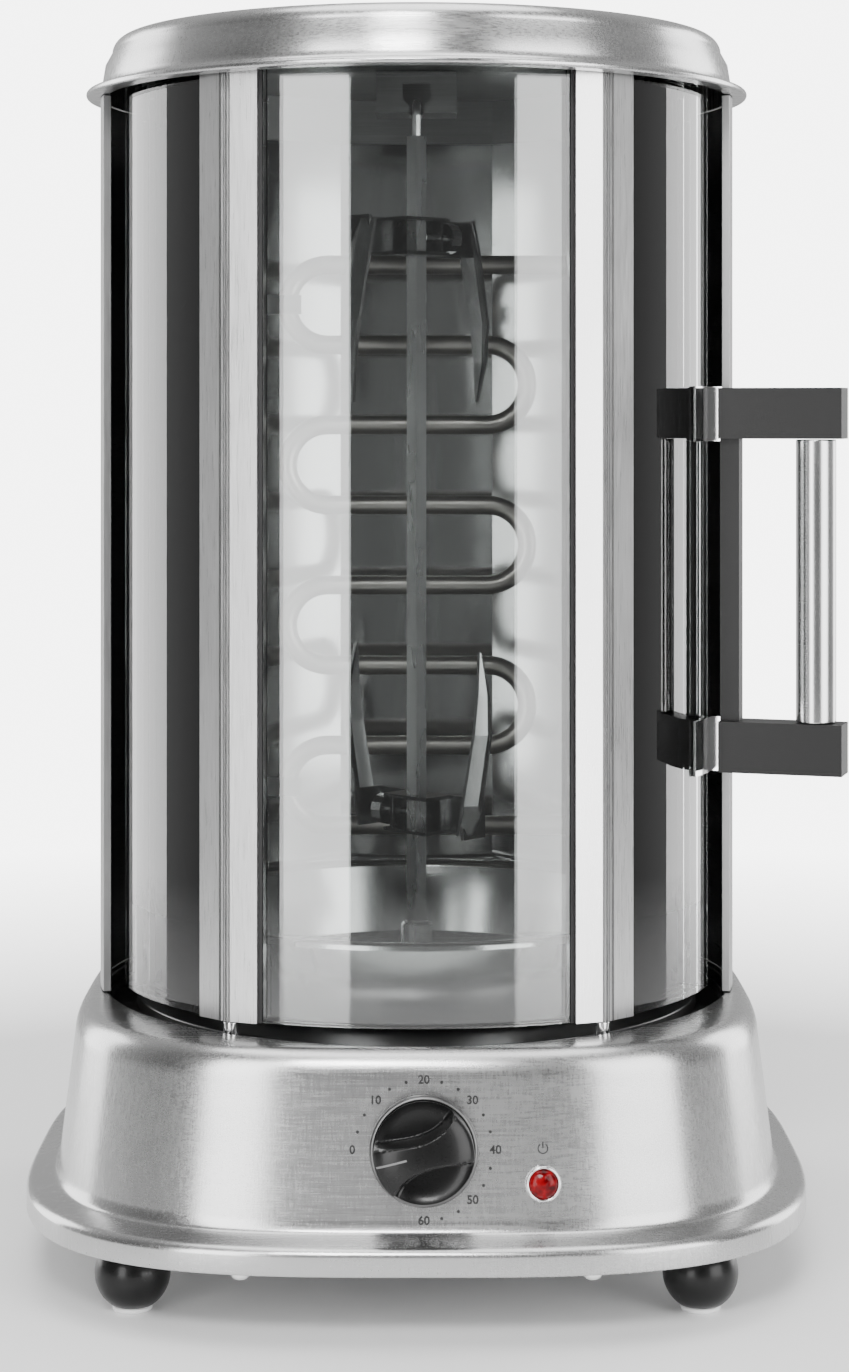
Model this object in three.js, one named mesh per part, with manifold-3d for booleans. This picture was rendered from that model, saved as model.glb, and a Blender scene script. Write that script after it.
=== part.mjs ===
// A vertical rotisserie oven. Millimetres, +Z up, the front faces -Y.
// The spit stands on the housing's axis, a curved glass door turns about the same axis, and the
// motor, timer and pilot lamp sit in the base. The origin is on the table, under the middle of the
// oven's bounding box.
import * as THREE from 'three';
import Module from 'manifold-3d';
import { mergeVertices } from 'three/addons/utils/BufferGeometryUtils.js';

const wasm = await Module();
wasm.setup();

// ---------------------------------------------------------------- driving dimensions

const fitGap = 0.3; // between pieces that touch
const runningGap = 1; // between pieces that move past each other

// Housing
const housingRadius = 125.4; // outside of the rear shell
const housingHeight = 348.4; // rear shell, bottom edge to top edge
const housingSheet = 1;
const trimDepth = 3.1; // thickness of the two edge trims
const trimAngle = 14; // degrees that each trim covers, forward of the oven's side

// Base
const standHeight = 25.4; // table to the underside of the base's flange
const baseHeight = 74.6; // underside of the flange to the deck
const baseFlare = 24.6; // the flange stands this far outside the housing
const bodyFlare = 12.6; // so does the body, just above the flange
const shoulderFlare = 6.6; // and at its shoulder
const baseSheet = 1.2;
const squareness = 3.2; // exponent of the base's plan: 2 is a circle
const flangeHeight = 8; // straight part of the flange's lip
const flangeRise = 15.6; // underside of the flange to the foot of the body
const shoulderWidth = 7.5;
const shoulderHeight = 11;
const recessInset = 2.9; // the round recess's edge lies this far inside the housing
const grooveDepth = 8; // deck to the floor of the groove in which the door's pins ride
const floorDrop = 3; // deck to the cavity's floor

// Feet
const footInset = 47; // edge of the flange to the middle of a foot, along X and along Y
const footRadius = 13.8;
const padRadius = 7.25;
const padHeight = 2.2;

// Bottom plate
const plateRise = 1.2; // underside of the flange to the plate
const plateSheet = 1.2;
const ventCount = 6; // slots on each side of the plate's middle
const ventStart = 48;
const ventPitch = 9;
const ventLength = 44;
const ventWidth = 4;

// Lid
const lidBrim = 5.6; // the brim stands this far outside the housing
const lidHeight = 25.6;
const lidTaper = 3.8; // the wall leans in by this much
const lidSheet = 1.2;
const ceilingDrop = 12.5; // top of the lid to the ceiling plate's top face
const ceilingSheet = 1.2;

// Door
const doorAngle = 72.5; // degrees from the front to each edge of the door
const glassThickness = 4;
const glassInset = 3.3; // crest of a post to the outer face of the side glass
const doorLift = 3.6; // deck to the bottom of the glass
const postStart = 29.2; // degrees from the front to a post's inner edge
const postEnd = 41.5; // and to its outer edge
const postBevel = 2.6; // the inner edge lies this far inside the crest
const postWall = 2;
const ribCount = 3; // fine ribs along a post's crest
const ribHeight = 0.45;
const ribTurn = 0.3; // degrees from a rib's root to its top
const frontBow = 10.2; // the front glass bulges this much between the posts
const frontSetback = 1; // inner edge of a post to the face of the front glass, along Y
const sealWidth = 1.2;
const pinRadius = 2.8;

// Handle
const handleLength = 147.4; // lower face of the lower arm to upper face of the upper arm
const handleCentre = 261.1; // height of the handle's middle above the table
const handleReach = 47.5; // from the bracket's inner face to the ends of its arms
const armHeight = 19.5;
const armWidth = 15;
const barDepth = 7.4;
const handleTubeRadius = 7.8;
const clipSheet = 1.2;
const clipArc = 10; // degrees of glass that a clip covers

// Cavity
const linerFacets = 5; // flat panels round the rear half
const linerSheet = 0.9;
const linerReturn = 8; // forward edge of the liner, bent parallel to Y
const linerTopDrop = 7; // top of the rear shell to the liner's top edge
const linerScrewRadius = 3.2;
const linerScrewPitch = 72;
const linerScrewLift = 8.5; // middle of the liner to the middle of its row of screws

// Heating element
const elementRadius = 4;
const elementRows = 8;
const elementPitch = 33.93;
const elementDepth = 70; // behind the oven's axis
const elementBottom = 50.3; // deck to the middle of the lowest row
const elementLeft = 37.7; // axis to the centres of the left bends
const elementRight = 30; // axis to the centres of the right bends
const terminalRadius = 5;
const terminalLength = 6.5;
const clipStrap = 1; // thickness of the straps that hold the element
const clipWidth = 8;

// Spit, forks and tray
const bracketDepth = 16.5; // ceiling to the underside of the spit's upper bracket
const spitSide = 5.5;
const neckRadius = 1.8;
const neckLength = 14.5;
const neckRise = 6; // the neck ends this far above the bracket's underside
const hubRadius = 6.15;
const hubRise = 22.3; // deck to the top of the hub
const socketDepth = 7.5;
const forkSpan = 30; // axis to the root of a prong
const forkHeight = 15;
const forkSheet = 1.4;
const prongLength = 66;
const prongWidth = 11;
const upperForkRise = 295.5; // deck to the middle of the upper fork's bar
const lowerForkRise = 65.5;
const screwRadius = 2;
const screwHeadRadius = 6.2;
const trayDepth = 35;
const traySheet = 1;
const trayFloorRise = 8; // the tray's raised middle above its gutter
const trayRim = 5;

// Controls
const knobRadius = 19.3;
const knobDrop = 34; // deck to the knob's centre
const knobOffset = 2.6; // to the right of the axis
const knobHeight = 20;
const timerShaftRadius = 3;
const lampRadius = 6.35;
const lampDrop = 45.7;
const lampOffset = 44.5;
const glandOffset = -60;
const glandDrop = 42;
const glandRadius = 5;

// Motor
const motorRadius = 30;
const motorHeight = 34;
const motorShaftRadius = 3.5;
const motorDrop = 12; // cavity floor to the motor bracket

// Wiring
const blockX = -54;
const blockY = 70;
const blockPitch = 12;
const blockSide = 16;
const cutoutX = 70;
const cutoutY = 30;

// How finely round pieces are divided
const fine = 40;
const medium = 24;
const coarse = 12;
const smallest = 8;

// ---------------------------------------------------------------- worked-out levels and radii

const deckZ = standHeight + baseHeight;
const grooveZ = deckZ - grooveDepth;
const floorZ = deckZ - floorDrop;
const housingTopZ = deckZ + fitGap + housingHeight;
const lidBottomZ = housingTopZ + fitGap;
const lidTopZ = lidBottomZ + lidHeight;
const ceilingZ = lidTopZ - ceilingDrop;
const linerTopZ = housingTopZ - linerTopDrop;

const recessRadius = housingRadius - recessInset;
const doorCrest = housingRadius - trimDepth - runningGap;
const glassOuter = doorCrest - glassInset;
const glassInner = glassOuter - glassThickness;
const postDepth = doorCrest - glassInner + 0.5;
const postInnerY = (doorCrest - postBevel) * Math.cos(THREE.MathUtils.degToRad(postStart));
const frontInner = postInnerY - frontSetback + frontBow - glassThickness; // least radius in the door
const facetAngle = Math.PI / linerFacets;
const linerOuterCorner = frontInner - runningGap; // the door passes round the liner's bends
const linerCorner = linerOuterCorner - linerSheet / Math.cos(facetAngle / 2);
const linerApothem = linerCorner * Math.cos(facetAngle / 2);
const grooveInner = linerOuterCorner + 0.7;
const doorBottomZ = deckZ + doorLift;
const doorTopZ = lidBottomZ + 3;
const pinCircle = glassOuter - pinRadius + 1.9;

const flangeHalf = housingRadius + baseFlare;
const bodyHalf = housingRadius + bodyFlare;
const shoulderHalf = housingRadius + shoulderFlare;
const bodyFootZ = standHeight + flangeRise;
const shoulderZ = deckZ - shoulderHeight;

// ---------------------------------------------------------------- tools

const range = (count) => Array.from({ length: count }, (_, i) => i);
const radians = (degrees) => THREE.MathUtils.degToRad(degrees);

/** A point at an angle measured in degrees from the front, positive towards +X. */
function fromFront(degrees, radius) {
  const angle = radians(degrees);
  return new THREE.Vector2(radius * Math.sin(angle), -radius * Math.cos(angle));
}

/** Points along an arc of angles measured from the front. */
function frontArc(start, end, radius, count) {
  return range(count + 1).map((i) => fromFront(start + ((end - start) * i) / count, radius));
}

/** Points of an arc in a profile, at angles in degrees from the profile's first axis. */
function profileArc(x, y, radiusX, radiusY, start, end, count) {
  return range(count + 1).map((i) => {
    const angle = radians(start + ((end - start) * i) / count);
    return new THREE.Vector2(x + radiusX * Math.cos(angle), y + radiusY * Math.sin(angle));
  });
}

/** A closed outline extruded along +Z from z. Its holes are outlines too. */
function prism(outline, z, height, holes = []) {
  const ordered = THREE.ShapeUtils.isClockWise(outline) ? [...outline].reverse() : outline;
  const shape = new THREE.Shape(ordered);
  shape.holes = holes.map((hole) => new THREE.Path(hole));
  const geometry = new THREE.ExtrudeGeometry(shape, { depth: height, bevelEnabled: false });
  return geometry.translate(0, 0, z);
}

/** A closed [radius, z] profile turned about Z. */
function revolve(profile, segments) {
  const points = profile.map((p) => (p.isVector2 ? p.clone() : new THREE.Vector2(...p)));
  if (THREE.ShapeUtils.area(points) < 0) {
    points.reverse();
  }
  points.push(points[0].clone());
  return new THREE.LatheGeometry(points, segments).rotateX(Math.PI / 2);
}

/** A solid skin through rings of equally many points: closed on itself, or capped at both ends. */
function loft(rings, capped) {
  const size = rings[0].length;
  const positions = rings.flat().flatMap((p) => [p.x, p.y, p.z]);
  const index = [];
  for (const i of range(capped ? rings.length - 1 : rings.length)) {
    const low = i * size;
    const high = ((i + 1) % rings.length) * size;
    for (const j of range(size)) {
      const k = (j + 1) % size;
      index.push(low + j, low + k, high + k, low + j, high + k, high + j);
    }
  }
  if (capped) {
    const top = (rings.length - 1) * size;
    const faces = THREE.ShapeUtils.triangulateShape(capped, []);
    for (const [a, b, c] of faces) {
      index.push(c, b, a, top + a, top + b, top + c);
    }
  }
  const geometry = new THREE.BufferGeometry();
  geometry.setAttribute('position', new THREE.Float32BufferAttribute(positions, 3));
  geometry.setIndex(index);
  return geometry;
}

function cylinder(radius, z, height, segments) {
  const geometry = new THREE.CylinderGeometry(radius, radius, height, segments);
  return geometry.rotateX(Math.PI / 2).translate(0, 0, z + height / 2);
}

function box(x0, x1, y0, y1, z0, z1) {
  const geometry = new THREE.BoxGeometry(x1 - x0, y1 - y0, z1 - z0);
  return geometry.translate((x0 + x1) / 2, (y0 + y1) / 2, (z0 + z1) / 2);
}

function rectangle(x0, x1, y0, y1) {
  return [[x0, y0], [x1, y0], [x1, y1], [x0, y1]].map(([x, y]) => new THREE.Vector2(x, y));
}

function circle(x, y, radius, segments) {
  return profileArc(x, y, radius, radius, 0, 360, segments).slice(0, -1);
}

/** The manifold solid of a closed geometry. */
function solid(geometry) {
  const bare = geometry.clone();
  bare.deleteAttribute('normal');
  bare.deleteAttribute('uv');
  const merged = mergeVertices(bare, 1e-4);
  const corners = Array.from(merged.index.array);
  const triangles = range(corners.length / 3)
    .map((i) => corners.slice(3 * i, 3 * i + 3))
    .filter(([a, b, c]) => a !== b && b !== c && c !== a);
  const mesh = new wasm.Mesh({
    numProp: 3,
    vertProperties: new Float32Array(merged.attributes.position.array),
    triVerts: new Uint32Array(triangles.flat()),
  });
  return new wasm.Manifold(mesh);
}

/** The geometry of a manifold solid. */
function surface(manifold) {
  const { vertProperties, triVerts, numProp } = manifold.getMesh();
  const positions = range(vertProperties.length / numProp).flatMap((i) =>
    Array.from(vertProperties.slice(i * numProp, i * numProp + 3)));
  const geometry = new THREE.BufferGeometry();
  geometry.setAttribute('position', new THREE.Float32BufferAttribute(positions, 3));
  geometry.setIndex(Array.from(triVerts));
  return geometry;
}

const cut = (geometry, ...tools) =>
  surface(tools.reduce((whole, tool) => whole.subtract(solid(tool)), solid(geometry)));
const join = (geometry, ...others) =>
  surface(others.reduce((whole, other) => whole.add(solid(other)), solid(geometry)));

// ---------------------------------------------------------------- finishes

const finishes = {
  brushedSteel: { color: 0xb9babb, roughness: 0.34, metalness: 1 },
  polishedSteel: { color: 0xc9cacc, roughness: 0.12, metalness: 1 },
  darkSteel: { color: 0x7d7f82, roughness: 0.3, metalness: 1 },
  zincSteel: { color: 0xa8abad, roughness: 0.45, metalness: 1 },
  chrome: { color: 0xe6e8ea, roughness: 0.06, metalness: 1 },
  aluminium: { color: 0xe1e2e3, roughness: 0.4, metalness: 1 },
  glass: { color: 0xdfe9ea, roughness: 0.03, metalness: 0, transparent: true, opacity: 0.25 },
  blackPlastic: { color: 0x1c1d1f, roughness: 0.4, metalness: 0 },
  blackRubber: { color: 0x17181a, roughness: 0.8, metalness: 0 },
  whiteRubber: { color: 0xe9e9e6, roughness: 0.8, metalness: 0 },
  redLens: { color: 0xb3121a, roughness: 0.1, metalness: 0 },
  whitePlastic: { color: 0xe4e2da, roughness: 0.5, metalness: 0 },
  ceramic: { color: 0xeae6da, roughness: 0.6, metalness: 0 },
};

const oven = new THREE.Group();

function piece(name, geometry, finish, parent = oven) {
  const mesh = new THREE.Mesh(geometry, new THREE.MeshStandardMaterial(finishes[finish]));
  mesh.name = name;
  parent.add(mesh);
  return mesh;
}

// ---------------------------------------------------------------- base

/** One ring of the base's plan: square-sided for exponent `squareness`, round for 2. */
function planRing(half, z, exponent) {
  return range(fine).map((i) => {
    const angle = (2 * Math.PI * i) / fine;
    const across = Math.abs(Math.cos(angle)) ** exponent + Math.abs(Math.sin(angle)) ** exponent;
    const reach = half / across ** (1 / exponent);
    return new THREE.Vector3(reach * Math.cos(angle), reach * Math.sin(angle), z);
  });
}

/** The base's pressed shell. Its front, back and cord holes are cut by `openings`. */
function baseShell(openings) {
  const squareRings = (levels) => levels.map(([half, z]) => planRing(half, z, squareness));
  const roundRings = (levels) => levels.map(([radius, z]) => planRing(radius, z, 2));
  const shoulder = (inset, start, end) =>
    profileArc(shoulderHalf - shoulderWidth, shoulderZ, shoulderWidth - inset, shoulderHeight - inset,
      start, end, 3).map((p) => [p.x, p.y]);
  const lipZ = standHeight + flangeHeight;
  const rings = [
    ...squareRings([
      [flangeHalf, standHeight],
      [flangeHalf, lipZ],
      [flangeHalf - 1.2, lipZ + 1.6],
      [bodyHalf + 1.2, bodyFootZ - 3.4],
      [bodyHalf, bodyFootZ],
      ...shoulder(0, 0, 90),
    ]),
    ...roundRings([
      [recessRadius + 1.6, deckZ],
      [recessRadius, deckZ - 1.4],
      [recessRadius, grooveZ - fitGap],
      [recessRadius + baseSheet, grooveZ - fitGap],
      [recessRadius + baseSheet, deckZ - 1.8],
    ]),
    ...squareRings([
      ...shoulder(baseSheet, 90, 0),
      [bodyHalf - baseSheet, bodyFootZ - 0.6],
      [bodyHalf + 0.4, bodyFootZ - 4.4],
      [flangeHalf - baseSheet - 0.6, lipZ],
      [flangeHalf - baseSheet, standHeight],
    ]),
  ];
  return cut(loft(rings, null), ...openings);
}

/** Place of a point on the base's wall: local +Z points out of the wall, local +Y up it. */
function wallPlace(x, z, side) {
  const rise = (z - bodyFootZ) / (shoulderZ - bodyFootZ);
  const half = bodyHalf + (shoulderHalf - bodyHalf) * rise;
  const y = side * half * (1 - Math.abs(x / half) ** squareness) ** (1 / squareness);
  const slope = (v) => Math.sign(v) * Math.abs(v / half) ** (squareness - 1);
  const lean = (bodyHalf - shoulderHalf) / (shoulderZ - bodyFootZ);
  const outward = new THREE.Vector3(slope(x), slope(y), lean).normalize();
  const across = new THREE.Vector3(0, 0, 1).cross(outward).normalize();
  const up = new THREE.Vector3().crossVectors(outward, across);
  return new THREE.Matrix4().makeBasis(across, up, outward).setPosition(x, y, z);
}

const knobPlace = wallPlace(knobOffset, deckZ - knobDrop, -1);
const lampPlace = wallPlace(lampOffset, deckZ - lampDrop, -1);
const glandPlace = wallPlace(glandOffset, deckZ - glandDrop, 1);
const holeDepth = 16;
const wallHole = (place, radius) =>
  cylinder(radius, -holeDepth / 2, holeDepth, coarse).applyMatrix4(place);

const lampBodyRadius = lampRadius - 1.4;
piece('base_shell', baseShell([
  wallHole(knobPlace, timerShaftRadius + runningGap),
  wallHole(lampPlace, lampBodyRadius + fitGap),
  wallHole(glandPlace, glandRadius + fitGap),
]), 'brushedSteel');

const plateZ = standHeight + plateRise;
const footSpacing = flangeHalf - footInset;
const ventSlots = [-1, 1].flatMap((side) => range(ventCount).map((i) => {
  const y = side * (ventStart + ventPitch * i);
  return rectangle(-ventLength / 2, ventLength / 2, y - ventWidth / 2, y + ventWidth / 2);
}));
const plateOutline = planRing(flangeHalf - baseSheet - 2 * fitGap, 0, squareness)
  .map((p) => new THREE.Vector2(p.x, p.y));
piece('bottom_plate', prism(plateOutline, plateZ, plateSheet, ventSlots), 'zincSteel');

/** A ball foot, flat where it meets the plate above it and the pad below it. */
function foot() {
  const bottom = padHeight + fitGap;
  const top = plateZ - fitGap;
  const centre = padHeight + footRadius - 1;
  const angleAt = (z) => THREE.MathUtils.radToDeg(Math.asin((z - centre) / footRadius));
  const ball = profileArc(0, centre, footRadius, footRadius, angleAt(bottom), angleAt(top), 6);
  return revolve([[0, bottom], ...ball, [0, top]], coarse);
}

for (const [depthName, y] of [['front', -footSpacing], ['rear', footSpacing]]) {
  for (const [sideName, x] of [['left', -footSpacing], ['right', footSpacing]]) {
    const place = new THREE.Group();
    place.position.set(x, y, 0);
    oven.add(place);
    piece(`foot_${depthName}_${sideName}`, foot(), 'blackPlastic', place);
    piece(`foot_pad_${depthName}_${sideName}`, cylinder(padRadius, 0, padHeight, coarse),
      'whiteRubber', place);
  }
}

const hubHole = motorShaftRadius + 3;
const panRadius = recessRadius - fitGap;
piece('floor_pan', revolve([
  [hubHole, floorZ - baseSheet],
  [grooveInner - baseSheet, floorZ - baseSheet],
  [grooveInner - baseSheet, grooveZ - baseSheet],
  [panRadius, grooveZ - baseSheet],
  [panRadius, grooveZ + 3],
  [panRadius - baseSheet, grooveZ + 3],
  [panRadius - baseSheet, grooveZ],
  [grooveInner, grooveZ],
  [grooveInner, floorZ],
  [hubHole, floorZ],
], fine), 'darkSteel');

// ---------------------------------------------------------------- drive, timer, lamp, wiring

/** A hat-shaped strip under the cavity's floor that carries the motor. */
function motorBracket() {
  const strip = 1.6;
  const half = motorRadius + 6;
  const flange = 14;
  const top = floorZ - baseSheet - fitGap;
  const bottom = top - motorDrop;
  const profile = [
    [-half - flange, top], [-half - flange, top - strip], [-half, top - strip], [-half, bottom],
    [half, bottom], [half, top - strip], [half + flange, top - strip], [half + flange, top],
    [half - strip, top], [half - strip, bottom + strip], [strip - half, bottom + strip],
    [strip - half, top],
  ].map(([x, z]) => new THREE.Vector2(x, z));
  const width = 36;
  const body = prism(profile, -width / 2, width).rotateX(Math.PI / 2);
  return cut(body, cylinder(motorShaftRadius + 2, bottom - strip, motorDrop, coarse));
}

const motorTop = floorZ - baseSheet - fitGap - motorDrop - fitGap;
const gearboxHeight = motorHeight * 0.55;
piece('motor_bracket', motorBracket(), 'zincSteel');
piece('gear_motor', revolve([
  [0, motorTop - motorHeight],
  [motorRadius - 5, motorTop - motorHeight],
  [motorRadius - 5, motorTop - gearboxHeight],
  [motorRadius, motorTop - gearboxHeight],
  [motorRadius, motorTop],
  [0, motorTop],
], medium), 'zincSteel');

const hubTop = deckZ + hubRise;
const socketHalf = spitSide / 2 + fitGap;
const diamond = (half) => rectangle(-half, half, -half, half)
  .map((p) => p.rotateAround(new THREE.Vector2(), Math.PI / 4));
piece('drive_hub', cut(
  revolve([
    [0, motorTop + fitGap],
    [motorShaftRadius, motorTop + fitGap],
    [motorShaftRadius, floorZ + 2],
    [hubRadius, floorZ + 4],
    [hubRadius, hubTop - 1],
    [hubRadius - 1, hubTop],
    [0, hubTop],
  ], coarse),
  prism(diamond(socketHalf), hubTop - socketDepth, socketDepth + 1),
), 'polishedSteel');

const timerPlace = new THREE.Group();
timerPlace.applyMatrix4(knobPlace);
oven.add(timerPlace);
const timerDepth = 32;
const timerTop = -baseSheet - fitGap;
const timerHalf = 21;
piece('timer_body', cut(
  box(-timerHalf, timerHalf, -timerHalf, timerHalf, timerTop - timerDepth, timerTop),
  cylinder(timerShaftRadius + fitGap, timerTop - timerDepth / 2, timerDepth, coarse),
), 'whitePlastic', timerPlace);
piece('timer_shaft',
  cylinder(timerShaftRadius, timerTop - timerDepth / 2 + fitGap, timerDepth / 2 + 4, coarse),
  'zincSteel', timerPlace);

/** The knob: a domed disc with two scooped pockets that leave a curved grip bar between them. */
function knob() {
  const seat = runningGap;
  const skirt = 3;
  const face = knobRadius - 2;
  const pocketFloor = 5.5;
  const disc = revolve([
    [0, seat],
    [knobRadius, seat],
    [knobRadius, seat + skirt - 0.8],
    [knobRadius - 0.8, seat + skirt],
    [face, seat + skirt],
    ...profileArc(0, knobHeight - 5, face, 5, 8, 90, 4),
  ], medium);
  const edge = new THREE.CubicBezierCurve(
    new THREE.Vector2(-knobRadius, 3),
    new THREE.Vector2(-6, 4.2),
    new THREE.Vector2(6, 3.5),
    new THREE.Vector2(10.5, knobRadius),
  );
  const pocket = (turn) => {
    const outline = [...edge.getPoints(8), new THREE.Vector2(-knobRadius, knobRadius)]
      .map((p) => p.rotateAround(new THREE.Vector2(), turn));
    return prism(outline, pocketFloor, knobHeight);
  };
  const rim = revolve([
    [face - 1.2, pocketFloor - 1], [face, pocketFloor - 1], [face, pocketFloor + 2],
    [face - 1.2, pocketFloor + 2],
  ], medium);
  const bore = cylinder(timerShaftRadius + 0.05, seat - 1, 2 + 1.4, coarse);
  return cut(join(cut(disc, pocket(0), pocket(Math.PI)), rim), bore);
}

piece('timer_knob', knob(), 'blackPlastic', timerPlace);

const lampGroup = new THREE.Group();
lampGroup.applyMatrix4(lampPlace);
oven.add(lampGroup);
piece('pilot_bezel', revolve([
  [lampRadius - 1, fitGap],
  [lampRadius, fitGap],
  [lampRadius, 1.4],
  [lampRadius - 0.5, 2],
  [lampRadius - 1, 1.7],
], coarse), 'chrome', lampGroup);
const lensRadius = lampRadius - 1 - fitGap;
piece('pilot_lens', revolve([
  [0, -14],
  [lampBodyRadius, -14],
  [lampBodyRadius, fitGap],
  [lensRadius, fitGap],
  ...profileArc(0, 1.6, lensRadius, 1.8, 0, 90, 4),
], coarse), 'redLens', lampGroup);

const glandGroup = new THREE.Group();
glandGroup.applyMatrix4(glandPlace);
oven.add(glandGroup);
piece('cord_gland', revolve([
  [2.2, -10],
  [glandRadius, -10],
  [glandRadius, fitGap],
  [glandRadius + 2.4, fitGap],
  [glandRadius + 2.4, 3],
  [glandRadius - 0.5, 4],
  [glandRadius - 1, 9],
  [2.2, 9],
], coarse), 'blackRubber', glandGroup);

const plateTop = plateZ + plateSheet + fitGap;
const wireHoles = range(3).map((i) =>
  circle(blockX + blockPitch * (i - 1), plateTop + blockSide / 2, 2.4, smallest));
const blockHalf = blockPitch * 1.6;
piece('terminal_block', prism(
  rectangle(blockX - blockHalf, blockX + blockHalf, plateTop, plateTop + blockSide),
  -blockY, blockSide, wireHoles).rotateX(Math.PI / 2), 'whitePlastic');

const cutoutTop = floorZ - baseSheet - fitGap;
const cutoutPlace = new THREE.Group();
cutoutPlace.position.set(cutoutX, cutoutY, 0);
oven.add(cutoutPlace);
piece('thermal_cutout', revolve([
  [0, cutoutTop - 10], [6, cutoutTop - 10], [6, cutoutTop - 5], [9, cutoutTop - 5],
  [9, cutoutTop], [0, cutoutTop],
], coarse), 'blackPlastic', cutoutPlace);

// ---------------------------------------------------------------- housing

/** A curved strip between two radii and two angles measured from the front. */
function curvedStrip(inner, outer, start, end, z, height, steps) {
  const outline = [...frontArc(start, end, outer, steps), ...frontArc(end, start, inner, steps)];
  return prism(outline, z, height);
}

const housingBottomZ = deckZ + fitGap;
piece('rear_shell', curvedStrip(housingRadius - housingSheet, housingRadius,
  90 + fitGap, 270 - fitGap, housingBottomZ, housingHeight, 36), 'brushedSteel');
for (const [sideName, start] of [['left', -90], ['right', 90 - trimAngle]]) {
  piece(`side_trim_${sideName}`, curvedStrip(housingRadius - trimDepth, housingRadius,
    start, start + trimAngle, housingBottomZ, housingHeight, 4), 'aluminium');
}

/** The faceted wall round the rear half of the cavity. */
function facetedWall(z, height) {
  const bends = (radius) => range(linerFacets + 1).map((i) =>
    new THREE.Vector2(radius, 0).rotateAround(new THREE.Vector2(), i * facetAngle));
  const inside = bends(linerCorner);
  const outside = bends(linerOuterCorner);
  const outline = [
    new THREE.Vector2(linerOuterCorner, -linerReturn),
    ...outside,
    new THREE.Vector2(-linerOuterCorner, -linerReturn),
    new THREE.Vector2(-linerCorner, -linerReturn),
    ...inside.reverse(),
    new THREE.Vector2(linerCorner, -linerReturn),
  ];
  return prism(outline, z, height);
}

const rowZ = (row) => deckZ + elementBottom + row * elementPitch;
const terminalRows = [['lower', rowZ(0)], ['upper', rowZ(elementRows - 1)]];
const linerBottomZ = floorZ + fitGap;
const elementHole = (z) => cylinder(elementRadius + runningGap, 0, glassInner, smallest)
  .rotateY(Math.PI / 2).translate(0, elementDepth, z);
const linerScrewZ = [-1.5, -0.5, 0.5, 1.5].map((step) =>
  (linerBottomZ + linerTopZ) / 2 + linerScrewLift + step * linerScrewPitch);
const screwShare = 0.36; // how far along the first facet the screws sit
const facetStart = new THREE.Vector2(linerCorner, 0);
const facetEnd = facetStart.clone().rotateAround(new THREE.Vector2(), facetAngle);
const screwSpot = facetStart.clone().lerp(facetEnd, screwShare);
const screwShank = 1.6;

/** Puts a piece that was made about +Z on the first facet, its +Z pointing into the cavity. */
function onFacet(geometry, z) {
  return geometry.rotateY(-Math.PI / 2).rotateZ(facetAngle / 2).translate(screwSpot.x, screwSpot.y, z);
}

piece('liner', cut(
  facetedWall(linerBottomZ, linerTopZ - linerBottomZ),
  ...terminalRows.map(([, z]) => elementHole(z)),
  ...linerScrewZ.map((z) => onFacet(cylinder(screwShank + fitGap, -2, 4, smallest), z)),
), 'polishedSteel');

linerScrewZ.forEach((z, i) => {
  const geometry = revolve([
    [0, -3], [screwShank, -3], [screwShank, fitGap], [linerScrewRadius, fitGap],
    [linerScrewRadius, 0.9], [linerScrewRadius * 0.6, 2.2], [0, 2.4],
  ], smallest);
  piece(`liner_screw_${i + 1}`, onFacet(geometry, z), 'chrome');
});

const ceilingUnder = ceilingZ - ceilingSheet;
const guideRadius = pinCircle - pinRadius - runningGap;
const ceilingDisc = revolve([
  [0, ceilingUnder],
  [guideRadius, ceilingUnder],
  [guideRadius, lidTopZ - lidSheet - 3.4],
  [guideRadius - ceilingSheet, lidTopZ - lidSheet - 3.4],
  [guideRadius - ceilingSheet, ceilingZ],
  [0, ceilingZ],
], fine);
piece('ceiling_plate',
  join(ceilingDisc, facetedWall(linerTopZ + fitGap, ceilingZ - linerTopZ - fitGap - 0.4)),
  'darkSteel');

/** The lid: a rolled brim, a wall that leans in, a round shoulder and a slightly crowned top. */
function lid() {
  const wall = housingRadius - 0.8;
  const bead = 1.25;
  const beadX = housingRadius + lidBrim - bead;
  const shoulder = 6;
  const shoulderX = wall - lidTaper - shoulder;
  const crown = 2;
  const outside = [
    [wall - lidSheet, lidBottomZ],
    ...profileArc(beadX, lidBottomZ + bead, bead, bead, -90, 90, 4),
    [wall + 0.6, lidBottomZ + 2 * bead + 0.6],
    [wall, lidBottomZ + 6],
    [wall - 1.1, lidBottomZ + 12.7],
    ...profileArc(shoulderX, lidTopZ - crown - shoulder, shoulder, shoulder, 0, 90, 4),
    [shoulderX * 0.6, lidTopZ - 0.7],
    [0, lidTopZ],
  ];
  const inside = [
    [0, lidTopZ - lidSheet],
    [shoulderX * 0.6, lidTopZ - 0.7 - lidSheet],
    ...profileArc(shoulderX, lidTopZ - crown - shoulder, shoulder - lidSheet, shoulder - lidSheet,
      90, 0, 2),
    [wall - 1.1 - lidSheet, lidBottomZ + 12.7],
    [wall - lidSheet, lidBottomZ + 6],
  ];
  return revolve([...outside, ...inside], fine);
}

piece('lid', lid(), 'brushedSteel');

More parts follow.
